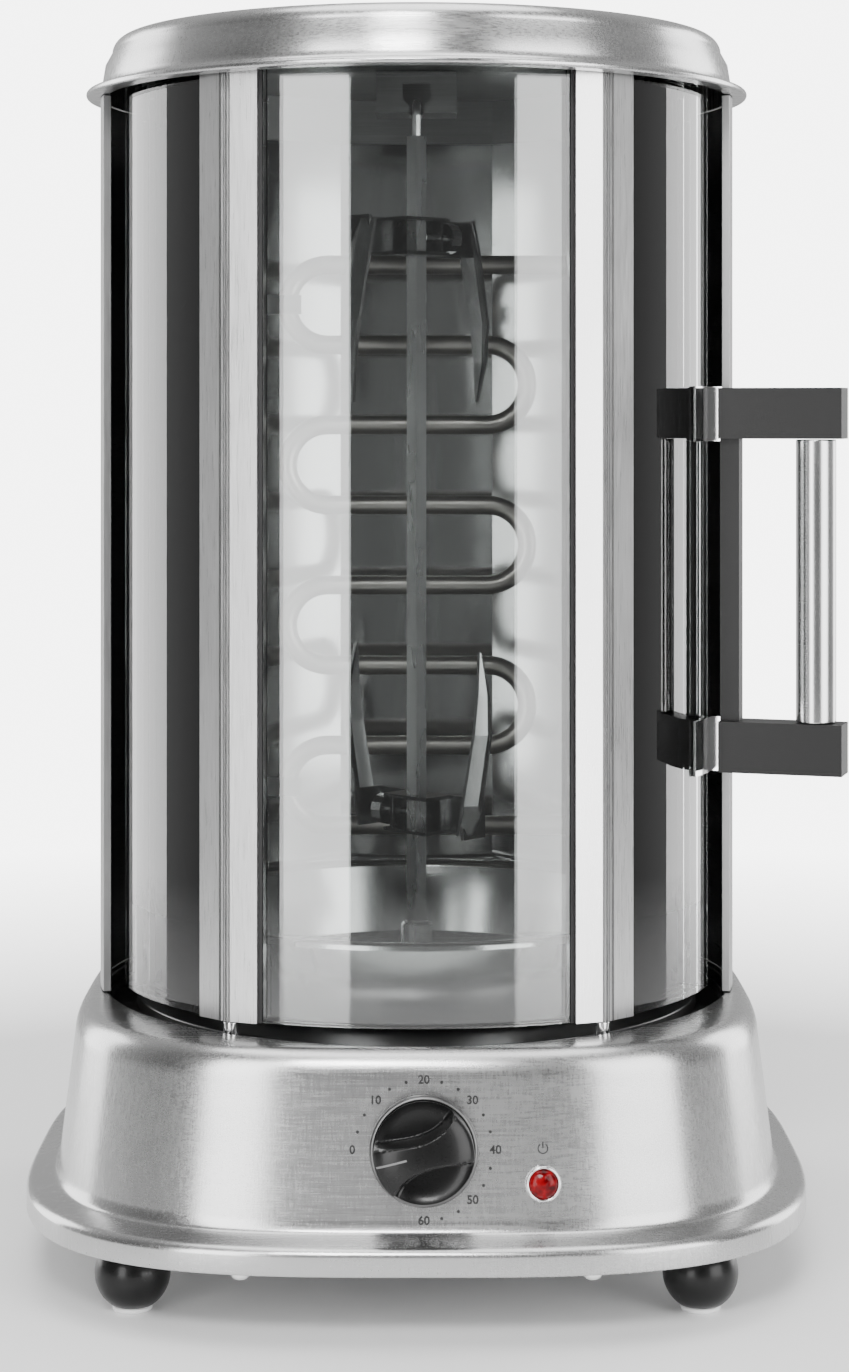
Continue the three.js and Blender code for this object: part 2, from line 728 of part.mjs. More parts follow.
/** A U-shaped strap under the ceiling. The spit's neck enters it through a keyhole and a slot. */
function spitBracket() {
  const strap = 1.2;
  const half = 16;
  const front = -9;
  const back = 14;
  const top = ceilingUnder - fitGap;
  const bottom = top - bracketDepth;
  const profile = [
    [front, top], [front, bottom], [back, bottom], [back, top], [back - strap, top],
    [back - strap, bottom + strap], [front + strap, bottom + strap], [front + strap, top],
  ].map(([y, z]) => new THREE.Vector2(y, z));
  const body = prism(profile, -half, 2 * half).rotateX(Math.PI / 2).rotateZ(Math.PI / 2);
  const slotHalf = neckRadius + runningGap;
  const windowHalf = 5.5;
  const keyhole = prism([
    [-slotHalf, bottom - 1], [slotHalf, bottom - 1], [slotHalf, bottom + 2.5],
    [windowHalf, bottom + 5.5], [windowHalf, top - 5], [-windowHalf, top - 5],
    [-windowHalf, bottom + 5.5], [-slotHalf, bottom + 2.5],
  ].map(([x, z]) => new THREE.Vector2(x, z)), 0, 4).rotateX(Math.PI / 2).translate(0, front + 3, 0);
  const slot = box(-slotHalf, slotHalf, front - 1, 0, bottom - 1, bottom + 2 * strap);
  const seat = cylinder(slotHalf, bottom - 1, 3 * strap, coarse);
  return cut(body, keyhole, slot, seat);
}

piece('spit_bracket', spitBracket(), 'zincSteel');

// ---------------------------------------------------------------- heating element

/** A half turn of the element in the XZ plane, from the row below to the row above. */
class HalfTurn extends THREE.Curve {
  constructor(x, z, side) {
    super();
    this.centre = [x, z];
    this.side = side;
  }

  getPoint(t, target = new THREE.Vector3()) {
    const angle = Math.PI * (t - 0.5);
    const [x, z] = this.centre;
    const radius = elementPitch / 2;
    return target.set(
      x + this.side * radius * Math.cos(angle), elementDepth, z + radius * Math.sin(angle));
  }
}

const terminalX = Math.sqrt(
  (housingRadius - housingSheet - runningGap) ** 2 - (elementDepth + terminalRadius + 1) ** 2);

/** The element's tube: rows joined by half turns, the outer two running out to the terminals. */
function heatingElement() {
  const end = terminalX - terminalLength + 2;
  const path = new THREE.CurvePath();
  const straight = (x0, x1, z) => path.add(new THREE.LineCurve3(
    new THREE.Vector3(x0, elementDepth, z), new THREE.Vector3(x1, elementDepth, z)));
  straight(end, -elementLeft, rowZ(0));
  for (const row of range(elementRows - 1)) {
    const side = row % 2 ? 1 : -1;
    const bend = side > 0 ? elementRight : -elementLeft;
    path.add(new HalfTurn(bend, (rowZ(row) + rowZ(row + 1)) / 2, side));
    const last = row === elementRows - 2 ? end : side > 0 ? -elementLeft : elementRight;
    straight(bend, last, rowZ(row + 1));
  }
  const section = new THREE.Shape(circle(0, 0, elementRadius, 8));
  return new THREE.ExtrudeGeometry(section, { steps: 100, extrudePath: path });
}

piece('heating_element', heatingElement(), 'darkSteel');
for (const [name, z] of terminalRows) {
  const start = terminalX - terminalLength;
  const sleeve = revolve([
    [elementRadius + fitGap, 0], [terminalRadius + 1, 0], [terminalRadius, 2.5],
    [terminalRadius, terminalLength], [1.5, terminalLength], [1.5, 3], [elementRadius + fitGap, 3],
  ], smallest);
  piece(`element_terminal_${name}`,
    sleeve.rotateY(Math.PI / 2).translate(start, elementDepth, z), 'ceramic');
}

/** Half the liner's inner width at a depth behind the axis. */
function linerHalfWidth(depth) {
  const bends = range(linerFacets + 1).map((i) =>
    new THREE.Vector2(linerCorner, 0).rotateAround(new THREE.Vector2(), i * facetAngle));
  const next = bends.findIndex((bend) => bend.y > depth);
  const [a, b] = [bends[next - 1], bends[next]];
  return THREE.MathUtils.mapLinear(depth, a.y, b.y, a.x, b.x);
}

/** A strap from the liner that holds one left bend of the element from in front. */
function elementClip(z) {
  const frontY = elementDepth - elementRadius - fitGap;
  const rootX = -linerHalfWidth(frontY) + 1;
  const tipX = -elementLeft - 11;
  return prism(rectangle(rootX, tipX, frontY - clipStrap, frontY), z - clipWidth / 2, clipWidth);
}

for (const [name, row] of [['lower', 0.5], ['upper', elementRows - 1.5]]) {
  piece(`element_clip_${name}`, elementClip(rowZ(row)), 'polishedSteel');
}

// ---------------------------------------------------------------- door

const doorHeight = doorTopZ - doorBottomZ;
const postGap = THREE.MathUtils.radToDeg(fitGap / glassOuter);
for (const [name, start, end] of [
  ['left', -doorAngle, -postEnd - postGap],
  ['right', postEnd + postGap, doorAngle],
]) {
  piece(`${name}_glass`,
    curvedStrip(glassInner, glassOuter, start, end, doorBottomZ, doorHeight, 10), 'glass');
}

// The front glass is a shallow arc between the posts. Its ends, the seals and the posts' inner
// sides are all square to the glass.
const postInnerEdge = fromFront(postStart, doorCrest - postBevel);
const frontHalf = postInnerEdge.x - sealWidth - 3 * fitGap;
const frontRadius = (frontHalf ** 2 + frontBow ** 2) / (2 * frontBow);
const frontSweep = Math.asin(frontHalf / frontRadius);
const frontEnd = new THREE.Vector2(frontHalf, postInnerEdge.y + frontSetback);
const alongGlass = new THREE.Vector2(Math.cos(frontSweep), Math.sin(frontSweep));
const throughGlass = new THREE.Vector2(-Math.sin(frontSweep), Math.cos(frontSweep));

/** Points of the front glass's face, set in from its outer face. */
function frontFace(inset, steps) {
  const centreY = frontEnd.y + frontRadius * Math.cos(frontSweep);
  const sweep = THREE.MathUtils.radToDeg(frontSweep);
  const radius = frontRadius - inset;
  return profileArc(0, centreY, radius, radius, -90 - sweep, -90 + sweep, steps);
}

/** A point measured from the outer corner of the front glass's right end. */
const fromFrontEnd = (along, through) => frontEnd.clone()
  .addScaledVector(alongGlass, along).addScaledVector(throughGlass, through);
const mirrored = (outline, side) => outline.map((p) => new THREE.Vector2(side * p.x, p.y));

piece('front_glass',
  prism([...frontFace(0, 16), ...frontFace(glassThickness, 16).reverse()], doorBottomZ, doorHeight),
  'glass');

/** Section of a post: a shallow V with three fine ribs along its crest, hollow inside. */
function postOutline(side) {
  const middle = (postStart + postEnd) / 2;
  const crest = range(2 * ribCount + 1).map((i) =>
    fromFront(middle + (i - ribCount) * ribTurn, doorCrest - (i % 2 ? 0 : ribHeight)));
  const outline = [
    fromFront(postStart, doorCrest - postBevel),
    ...crest,
    fromFront(postEnd, doorCrest - 1),
    fromFront(postEnd, doorCrest - postDepth),
    postInnerEdge.clone().addScaledVector(throughGlass, postDepth - postBevel - 0.5),
  ];
  return mirrored(outline, side);
}

function postHollow(side) {
  const wall = THREE.MathUtils.radToDeg(postWall / doorCrest);
  const [start, end] = [postStart + wall, postEnd - wall];
  const [high, low] = [doorCrest - postBevel - postWall, doorCrest - postDepth + 1.4];
  const corners = [[start, high], [end, high], [end, low], [start + 1, low]];
  return mirrored(corners.map(([angle, radius]) => fromFront(angle, radius)), side);
}

for (const [name, side] of [['left', -1], ['right', 1]]) {
  piece(`post_${name}`,
    prism(postOutline(side), doorBottomZ, doorHeight, [postHollow(side)]), 'aluminium');
  const seal = [
    fromFrontEnd(fitGap, 0), fromFrontEnd(fitGap + sealWidth, 0),
    fromFrontEnd(fitGap + sealWidth, glassThickness), fromFrontEnd(fitGap, glassThickness),
  ];
  piece(`post_seal_${name}`, prism(mirrored(seal, side), doorBottomZ, doorHeight), 'blackRubber');

  const spot = fromFront(side * (postStart + postEnd) / 2, pinCircle);
  const pinPlace = new THREE.Group();
  pinPlace.position.set(spot.x, spot.y, 0);
  oven.add(pinPlace);
  piece(`door_pin_bottom_${name}`, revolve([
    [0, grooveZ + fitGap], [pinRadius - 0.6, grooveZ + fitGap], [pinRadius, grooveZ + 1],
    [pinRadius, doorBottomZ - fitGap], [0, doorBottomZ - fitGap],
  ], smallest), 'chrome', pinPlace);
  piece(`door_pin_top_${name}`,
    cylinder(pinRadius, doorTopZ + fitGap, ceilingZ + 2 - doorTopZ, smallest), 'chrome', pinPlace);
}

// The handle stands out of the door's right edge. It is made along +X and turned into place.
const handleTurn = -radians(90 - doorAngle + 0.5);
const handleRoot = doorCrest + 2.6;
const handleZ = handleCentre - handleLength / 2;

/** A C-shaped bracket: a bar along the glass and an arm at each end. */
function handleBracket() {
  const tip = handleRoot + handleReach;
  const outline = [
    [handleRoot, 0], [tip, 0], [tip, armHeight], [handleRoot + barDepth, armHeight],
    [handleRoot + barDepth, handleLength - armHeight], [tip, handleLength - armHeight],
    [tip, handleLength], [handleRoot, handleLength],
  ].map(([x, z]) => new THREE.Vector2(x, z));
  const body = prism(outline, -armWidth / 2, armWidth).rotateX(Math.PI / 2);
  const slim = 3.5;
  const side = (sign) => box(handleRoot - 1, handleRoot + barDepth + 1,
    Math.min(sign * slim, sign * armWidth), Math.max(sign * slim, sign * armWidth),
    armHeight, handleLength - armHeight);
  return cut(body, side(1), side(-1)).translate(0, 0, handleZ).rotateZ(handleTurn);
}

piece('handle_bracket', handleBracket(), 'blackPlastic');
const tubeX = handleRoot + handleReach - handleTubeRadius - 3.2;
piece('handle_tube', cylinder(handleTubeRadius, handleZ + armHeight + fitGap,
  handleLength - 2 * armHeight - 2 * fitGap, coarse)
  .translate(tubeX, 0, 0).rotateZ(handleTurn), 'brushedSteel');

/** A folded clip round the edge of the right glass, with a tab that reaches the bracket. */
function handleClip(z) {
  const edge = doorAngle + THREE.MathUtils.radToDeg(fitGap / glassOuter);
  const fold = edge + THREE.MathUtils.radToDeg(clipSheet / glassOuter);
  const [inner, outer] = [glassInner - fitGap, glassOuter + fitGap];
  const tabReach = handleRoot - fitGap;
  const outline = [
    ...frontArc(edge - clipArc * 0.7, edge, inner, 3),
    ...frontArc(edge, edge - clipArc, outer, 3),
    ...frontArc(edge - clipArc, fold - 0.6, outer + clipSheet, 3),
    fromFront(fold - 0.6, tabReach),
    fromFront(fold, tabReach),
    ...frontArc(fold, edge - clipArc * 0.7, inner - clipSheet, 3),
  ];
  return prism(outline, z, armHeight + 1.5);
}

piece('handle_clip_lower', handleClip(handleZ - 0.5), 'chrome');
piece('handle_clip_upper', handleClip(handleZ + handleLength - armHeight - 1), 'chrome');

// ---------------------------------------------------------------- spit and forks

const spitBottomZ = hubTop - socketDepth + fitGap;
const spitTopZ = ceilingUnder - fitGap - bracketDepth + neckRise;
const barTopZ = spitTopZ - neckLength;
piece('spit_rod', join(
  prism(diamond(spitSide / 2), spitBottomZ, barTopZ - spitBottomZ),
  revolve([
    [0, barTopZ - 1], [neckRadius, barTopZ - 1], [neckRadius, spitTopZ - 2],
    [neckRadius - 0.9, spitTopZ], [0, spitTopZ],
  ], smallest),
), 'polishedSteel');

/** One V-section prong, from the fork's bar to its point. It hangs from z = 0 down. */
function prong() {
  const stations = [
    [-1.5, 6, prongWidth * 0.95], [1.5, -6, prongWidth], [7, -34, prongWidth * 0.9],
    [7.5, -50, prongWidth * 0.6], [5.5, -prongLength, 0.8],
  ];
  const rings = stations.map(([out, z, width]) => {
    const half = width / 2;
    const fold = half * 0.45;
    const section = [
      [0, -half], [fold, 0], [0, half], [-forkSheet, half], [fold - forkSheet, 0],
      [-forkSheet, -half],
    ];
    return section.map(([x, y]) => new THREE.Vector3(forkSpan + out + x, y, z));
  }).reverse();
  return loft(rings, rings[0].map((p) => new THREE.Vector2(p.x, p.y)));
}

/** A fork for its local frame: the bar runs along X, the prongs point down. */
function fork() {
  const half = forkHeight / 2;
  const clear = spitSide / 2 + 0.25;
  const backY = screwHeadRadius + 2 * fitGap;
  const frontY = -backY;
  const reach = 12;
  const web = box(-forkSpan, forkSpan, backY, backY + forkSheet, -half, half);
  const flange = (z) => box(-reach, reach, frontY, backY + forkSheet / 2, z, z + forkSheet);
  const lug = box(7, 7 + forkSheet, frontY, backY + forkSheet / 2, -half, half);
  const ends = [forkSpan - forkSheet, -forkSpan].map((x) =>
    box(x, x + forkSheet, -4, backY + forkSheet / 2, -half, half));
  const prongs = [0, Math.PI].map((turn) => prong().rotateZ(turn));
  const body = join(web, flange(half - forkSheet), flange(-half), lug, ...ends, ...prongs);
  return cut(body,
    box(-clear, clear, -clear, clear, -forkHeight, forkHeight),
    cylinder(screwRadius + 0.15, 0, reach * 2, coarse).rotateY(Math.PI / 2));
}

/** A thumbscrew along the fork's bar, its tip against the spit. */
function thumbscrew() {
  const tip = spitSide / 2 + fitGap;
  const head = 15;
  return revolve([
    [0, tip], [screwRadius - 0.5, tip], [screwRadius, tip + 1], [screwRadius, head],
    [screwHeadRadius, head], [screwHeadRadius, head + 5], [screwHeadRadius - 1, head + 6.5],
    [0, head + 7.5],
  ], coarse).rotateY(Math.PI / 2);
}

for (const [name, z, turn, flip] of [
  ['upper', deckZ + upperForkRise, Math.PI / 4, 0],
  ['lower', deckZ + lowerForkRise, Math.PI * 0.75, Math.PI],
]) {
  const place = new THREE.Group();
  place.position.z = z;
  place.rotation.set(flip, 0, turn, 'ZYX');
  oven.add(place);
  piece(`fork_${name}`, fork(), 'polishedSteel', place);
  piece(`thumbscrew_${name}`, thumbscrew(), 'chrome', place);
}

// ---------------------------------------------------------------- drip tray

/** A round tray with a rolled rim, a gutter, and a raised middle round the hub. */
function dripTray() {
  const rim = linerApothem - runningGap;
  const wallTop = rim - trayRim;
  const gutter = wallTop - 12;
  const hole = hubRadius + 2;
  const z = floorZ + fitGap;
  const top = z + trayDepth;
  const t = traySheet;
  return revolve([
    [hole, z + trayFloorRise], [gutter - 14, z + trayFloorRise], [gutter - 10, z],
    [gutter, z], [gutter + 4, z + 3], [wallTop, top - 2], [rim, top - 1 - t],
    [rim, top - 3], [rim + t * 0.6, top - 3], [rim + t * 0.6, top - 0.6],
    [rim - 0.6, top], [wallTop - t, top - 0.8], [gutter + 4 - t, z + 3.4], [gutter - 0.6, z + t],
    [gutter - 10 + 0.6, z + t], [gutter - 14 + 0.6, z + trayFloorRise + t],
    [hole, z + trayFloorRise + t],
  ], fine);
}

piece('drip_tray', dripTray(), 'polishedSteel');

// ---------------------------------------------------------------- origin

const bounds = new THREE.Box3().setFromObject(oven);
const middle = bounds.getCenter(new THREE.Vector3());
oven.position.set(-middle.x, -middle.y, -bounds.min.z);

const part = new THREE.Group();
part.add(oven);

export default part;
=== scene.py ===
"""Studio picture of a vertical rotisserie oven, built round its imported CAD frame.

Shapes are written in millimetres measured from the oven's axis, and turned into metres in the
row frame when a mesh is made. The CAD nodes give every size and place.
"""
import math

import bpy
from mathutils import Matrix, Vector

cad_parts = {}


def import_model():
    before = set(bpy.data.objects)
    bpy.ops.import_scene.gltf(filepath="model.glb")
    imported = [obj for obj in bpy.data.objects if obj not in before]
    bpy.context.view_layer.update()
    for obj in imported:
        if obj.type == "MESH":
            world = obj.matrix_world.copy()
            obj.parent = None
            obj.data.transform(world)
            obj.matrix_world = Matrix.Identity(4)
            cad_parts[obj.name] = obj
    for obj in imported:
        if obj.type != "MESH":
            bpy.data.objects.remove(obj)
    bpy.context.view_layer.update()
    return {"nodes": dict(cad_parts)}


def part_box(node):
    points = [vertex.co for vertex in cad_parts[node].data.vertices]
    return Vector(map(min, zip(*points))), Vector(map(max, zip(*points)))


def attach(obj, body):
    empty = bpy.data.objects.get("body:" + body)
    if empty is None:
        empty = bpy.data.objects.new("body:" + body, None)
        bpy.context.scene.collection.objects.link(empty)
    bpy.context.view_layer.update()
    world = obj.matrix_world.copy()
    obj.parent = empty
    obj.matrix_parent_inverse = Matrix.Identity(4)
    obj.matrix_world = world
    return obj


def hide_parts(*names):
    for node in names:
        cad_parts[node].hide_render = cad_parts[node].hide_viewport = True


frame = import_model()

MM = 0.001
TAU = 2 * math.pi
ON_AXIS = 1e-6  # a smaller radius counts as none


# ---------------------------------------------------------------- sizes from the frame

class Span:
    """A CAD node's box in millimetres: lowest and highest corner, middle and size."""

    def __init__(self, node):
        low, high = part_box(node)
        self.low = Vector(low) / MM
        self.high = Vector(high) / MM
        self.mid = (self.low + self.high) / 2
        self.size = self.high - self.low


lid = Span("lid")
AXIS = Vector((lid.mid.x, lid.mid.y, 0))
base = Span("base_shell")
rear = Span("rear_shell")
pan = Span("floor_pan")
tray = Span("drip_tray")
front = Span("front_glass")
glass_z = (front.low.z, front.high.z)
deck = base.high.z
shell_radius = rear.size.x / 2
SQUARENESS = 3.2  # exponent of the base's plan


# ---------------------------------------------------------------- mesh tools

def place(points, matrix=None):
    """Points in millimetres from the axis, or in a matrix's frame, as metres in the row frame."""
    if matrix is None:
        return [(Vector(p) + AXIS) * MM for p in points]
    return [(matrix @ Vector(p)) * MM for p in points]


def add(name, points, faces, material, body, replaces=(), matrix=None, sharp=35, bevel=0):
    """A mesh object in the row frame that rides on a body."""
    mesh = bpy.data.meshes.new(name)
    mesh.from_pydata([tuple(p) for p in place(points, matrix)], [], faces)
    mesh.validate()
    mesh.polygons.foreach_set("use_smooth", [True] * len(mesh.polygons))
    mesh.set_sharp_from_angle(angle=math.radians(sharp))
    obj = bpy.data.objects.new(name, mesh)
    bpy.context.scene.collection.objects.link(obj)
    mesh.materials.append(material)
    if bevel:
        round_edges(obj, bevel)
    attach(obj, body)
    if replaces:
        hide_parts(*([replaces] if isinstance(replaces, str) else replaces))
    return obj


def round_edges(obj, width):
    """Rounds an object's sharp edges by a width in millimetres."""
    bevel = obj.modifiers.new("round", "BEVEL")
    bevel.width = width * MM
    bevel.segments = 2
    bevel.limit_method = "ANGLE"
    bevel.angle_limit = math.radians(30)
    bevel.harden_normals = True


def revolve(profile, steps):
    """Points and faces of a closed (radius, height) profile turned about +Z."""
    points, faces, rows = [], [], []
    for radius, z in profile:
        if radius < ON_AXIS:
            rows.append([len(points)] * steps)
            points.append((0, 0, z))
            continue
        rows.append(range(len(points), len(points) + steps))
        points += [(radius * math.cos(TAU * i / steps), radius * math.sin(TAU * i / steps), z)
                   for i in range(steps)]
    closed = profile[0][0] > ON_AXIS or profile[-1][0] > ON_AXIS
    pairs = list(zip(rows, rows[1:] + rows[:1]))
    for low, high in pairs if closed else pairs[:-1]:
        for i in range(steps):
            j = (i + 1) % steps
            corners = [low[i], low[j], high[j], high[i]]
            face = [c for k, c in enumerate(corners) if c != corners[k - 1]]
            if len(face) > 2:
                faces.append(face)
    return points, faces


def area(outline):
    """Signed area of a closed outline."""
    return sum(a[0] * b[1] - b[0] * a[1] for a, b in zip(outline, outline[1:] + outline[:1])) / 2


def counterclockwise(outline):
    return outline if area(outline) > 0 else outline[::-1]


def prism(outline, z0, z1):
    """Points and faces of an outline extruded along +Z."""
    outline = counterclockwise(outline)
    count = len(outline)
    points = [(x, y, z) for z in (z0, z1) for x, y in outline]
    sides = [(i, (i + 1) % count, count + (i + 1) % count, count + i) for i in range(count)]
    return points, [tuple(range(count))[::-1], tuple(range(count, 2 * count)), *sides]


def strip(inner, outer, z0, z1):
    """Points and faces of a wall between two equally long rows of (x, y) points."""
    count = len(inner)
    points = [(x, y, z) for z in (z0, z1) for x, y in [*inner, *outer]]
    faces = []
    for i in range(count - 1):
        a, b, c, d = i, i + 1, count + i + 1, count + i
        up = 2 * count
        faces += [(a, b, c, d), (up + d, up + c, up + b, up + a), (b, a, up + a, up + b),
                  (d, c, up + c, up + d)]
    for i, turn in ((0, 1), (count - 1, -1)):
        end = (i, count + i, 3 * count + i, 2 * count + i)
        faces.append(end[::turn])
    return points, faces


def loft(rings):
    """Points and faces of a skin through rings of points that closes on itself."""
    size = len(rings[0])
    points = [p for ring in rings for p in ring]
    faces = []
    for i in range(len(rings)):
        j = (i + 1) % len(rings)
        for k in range(size):
            n = (k + 1) % size
            faces.append((i * size + k, i * size + n, j * size + n, j * size + k))
    return points, faces


def tube(path, radius, sides):
    """Points and faces of a round tube along a path that lies in an XZ plane."""
    points, faces = [], []
    for i, p in enumerate(path):
        ahead = Vector(path[min(i + 1, len(path) - 1)]) - Vector(path[max(i - 1, 0)])
        along = ahead.normalized()
        across = Vector((0, 1, 0))
        out = along.cross(across)
        for k in range(sides):
            angle = TAU * k / sides
            points.append(Vector(p) + radius * (math.cos(angle) * across + math.sin(angle) * out))
    for i in range(len(path) - 1):
        for k in range(sides):
            n = (k + 1) % sides
            faces.append((i * sides + k, i * sides + n, (i + 1) * sides + n, (i + 1) * sides + k))
    faces.append(tuple(range(sides))[::-1])
    faces.append(tuple(range(len(points) - sides, len(points))))
    return points, faces


def arc(x, y, radius_x, radius_y, start, end, steps):
    """Points of an arc, angles in degrees from the first axis."""
    angles = [math.radians(start + (end - start) * i / steps) for i in range(steps + 1)]
    return [(x + radius_x * math.cos(a), y + radius_y * math.sin(a)) for a in angles]


def front_arc(start, end, radius, steps):
    """Plan points at a radius, angles in degrees from the front, positive towards +X."""
    angles = [math.radians(start + (end - start) * i / steps) for i in range(steps + 1)]
    return [(radius * math.sin(a), -radius * math.cos(a)) for a in angles]


def fillet(profile, radius, steps=4):
    """Rounds each corner of an open profile by a radius."""
    rounded = [profile[0]]
    for before, corner, after in zip(profile, profile[1:], profile[2:]):
        p, c, n = (Vector(v).to_2d() for v in (before, corner, after))
        back, ahead = (p - c), (n - c)
        reach = min(radius, back.length * 0.45, ahead.length * 0.45)
        a, b = c + back.normalized() * reach, c + ahead.normalized() * reach
        for i in range(steps + 1):
            t = i / steps
            q = a.lerp(c, t).lerp(c.lerp(b, t), t)
            rounded.append((q.x, q.y))
    return rounded + [profile[-1]]


# ---------------------------------------------------------------- materials

class Nodes:
    """A short way to build a material's node tree."""

    def __init__(self, name):
        self.material = bpy.data.materials.new(name)
        self.material.use_nodes = True
        self.tree = self.material.node_tree
        self.shader = self.tree.nodes["Principled BSDF"]
        self.coords = self.new("ShaderNodeTexCoord").outputs["Object"]

    def new(self, kind, **settings):
        node = self.tree.nodes.new(kind)
        for key, value in settings.items():
            setattr(node, key, value)
        return node

    def link(self, source, target):
        self.tree.links.new(source, target)

    def noise(self, stretch, scale, detail=3.0, roughness=0.6):
        """Noise in object coordinates, scaled apart along each axis."""
        mapping = self.new("ShaderNodeMapping")
        mapping.inputs["Scale"].default_value = stretch
        self.link(self.coords, mapping.inputs["Vector"])
        noise = self.new("ShaderNodeTexNoise")
        noise.inputs["Scale"].default_value = scale
        noise.inputs["Detail"].default_value = detail
        noise.inputs["Roughness"].default_value = roughness
        self.link(mapping.outputs["Vector"], noise.inputs["Vector"])
        return noise.outputs["Fac"]

    def remap(self, value, low, high, start=0.3, end=0.7):
        """Stretches start..end to low..high. Noise lies mostly between 0.3 and 0.7."""
        node = self.new("ShaderNodeMapRange")
        node.inputs["From Min"].default_value = start
        node.inputs["From Max"].default_value = end
        node.inputs["To Min"].default_value = low
        node.inputs["To Max"].default_value = high
        self.link(value, node.inputs["Value"])
        return node.outputs["Result"]

    def blend(self, a, b, share=0.5):
        node = self.new("ShaderNodeMix", data_type="FLOAT")
        if isinstance(share, float):
            node.inputs["Factor"].default_value = share
        else:
            self.link(share, node.inputs["Factor"])
        self.link(a, node.inputs["A"])
        self.link(b, node.inputs["B"])
        return node.outputs["Result"]

    def sideways(self):
        """0 on faces that look to the front, the back or up, 1 on those that look sideways."""
        split = self.new("ShaderNodeSeparateXYZ")
        self.link(self.new("ShaderNodeNewGeometry").outputs["Normal"], split.inputs["Vector"])
        size = self.new("ShaderNodeMath", operation="ABSOLUTE")
        self.link(split.outputs["X"], size.inputs[0])
        return self.remap(size.outputs["Value"], 0.0, 1.0, 0.55, 0.85)

    def tint(self, value, dark, light):
        node = self.new("ShaderNodeMix", data_type="RGBA")
        node.inputs["A"].default_value = (*dark, 1)
        node.inputs["B"].default_value = (*light, 1)
        self.link(value, node.inputs["Factor"])
        self.link(node.outputs["Result"], self.shader.inputs["Base Color"])

    def roughness(self, value):
        self.link(value, self.shader.inputs["Roughness"])

    def bump(self, value, distance, strength=1.0):
        node = self.new("ShaderNodeBump")
        node.inputs["Distance"].default_value = distance
        node.inputs["Strength"].default_value = strength
        self.link(value, node.inputs["Height"])
        self.link(node.outputs["Normal"], self.shader.inputs["Normal"])

    def set(self, **values):
        for key, value in values.items():
            self.shader.inputs[key.replace("_", " ")].default_value = value


def grey(level, warmth=0.0):
    return (level * (1 + warmth), level, level * (1 - warmth))


def brushed(name, light, rough, grain, cross=0.0, fine=2600, depth=0.00002, stretch=0.0):
    """Brushed metal. grain is the direction the scratches run in: "x", "z" or "round".

    cross is the share of scratches that run the other way, and a higher fine makes them narrower.
    stretch draws highlights out up and down, as scratches round the oven do.
    """
    n = Nodes(name)
    n.set(Metallic=1.0)
    if stretch:
        n.set(Anisotropic=stretch, Anisotropic_Rotation=0.25)
        tangent = n.new("ShaderNodeTangent", direction_type="RADIAL", axis="Z")
        n.link(tangent.outputs["Tangent"], n.shader.inputs["Tangent"])
    lengthwise = {"x": (0.02, 1, 1), "z": (1, 1, 0.02), "round": (0.05, 0.05, 1)}[grain]
    crosswise = {"x": (1, 1, 0.02), "z": (0.02, 0.02, 1), "round": (1, 1, 0.05)}[grain]
    scratches = n.noise(lengthwise, fine, 2.0)
    if grain == "x":
        scratches = n.blend(scratches, n.noise(crosswise, fine, 2.0), n.sideways())
    if cross:
        scratches = n.blend(scratches, n.noise(crosswise, fine, 2.0), cross)
    broad = n.noise(tuple(min(1, s * 4) for s in lengthwise), 60, 2.0)
    smudge = n.noise((1, 1, 1), 9, 3.0)
    n.tint(n.remap(n.blend(scratches, broad, 0.35), 0, 1), grey(light * 0.84), grey(light * 1.04))
    n.roughness(n.remap(n.blend(scratches, smudge, 0.4), rough - 0.07, rough + 0.09))
    n.bump(scratches, depth)
    return n.material


def polished(name, light, rough, warmth=0.0, smear=0.05, wave=0.0):
    """Smooth metal with faint wiping marks, and an uneven surface if wave is set."""
    n = Nodes(name)
    n.set(Metallic=1.0)
    marks = n.noise((1, 1, 0.25), 45, 4.0)
    n.tint(n.remap(marks, 0, 1), grey(light * 0.92, warmth), grey(light * 1.03, warmth))
    n.roughness(n.remap(marks, rough, rough + smear))
    n.bump(n.blend(n.noise((1, 1, 0.6), 12, 1.0), n.noise((1, 1, 1), 900, 1.0), 0.01),
           0.00005 + wave, 0.5)
    return n.material


def plastic(name, light, rough, grain=1800, depth=0.00003, coat=0.0):
    """Moulded plastic with a fine grain."""
    n = Nodes(name)
    n.set(Coat_Weight=coat, Coat_Roughness=0.12, Specular_IOR_Level=0.25)
    speckle = n.noise((1, 1, 1), grain, 2.0)
    cloud = n.noise((1, 1, 1), 22, 3.0)
    n.tint(n.remap(cloud, 0, 1), grey(light * 0.85), grey(light * 1.2))
    n.roughness(n.remap(n.blend(speckle, cloud, 0.4), rough - 0.06, rough + 0.08))
    n.bump(speckle, depth)
    return n.material


def clear_glass(name):
    """Thin clear glass: it shows what is behind it and mirrors bright lights."""
    n = Nodes(name)
    clear = n.new("ShaderNodeBsdfTransparent")
    clear.inputs["Color"].default_value = (0.955, 0.97, 0.965, 1)
    fresnel = n.new("ShaderNodeFresnel")
    fresnel.inputs["IOR"].default_value = 1.8
    mix = n.new("ShaderNodeMixShader")
    n.link(fresnel.outputs["Fac"], mix.inputs["Fac"])
    n.link(clear.outputs["BSDF"], mix.inputs[1])
    gloss = n.new("ShaderNodeBsdfGlossy")
    gloss.inputs["Color"].default_value = (1, 1, 1, 1)
    n.link(n.remap(n.noise((1, 1, 0.4), 26, 4.0), 0.004, 0.02), gloss.inputs["Roughness"])
    n.link(gloss.outputs["BSDF"], mix.inputs[2])
    n.link(mix.outputs["Shader"], n.tree.nodes["Material Output"].inputs["Surface"])
    return n.material


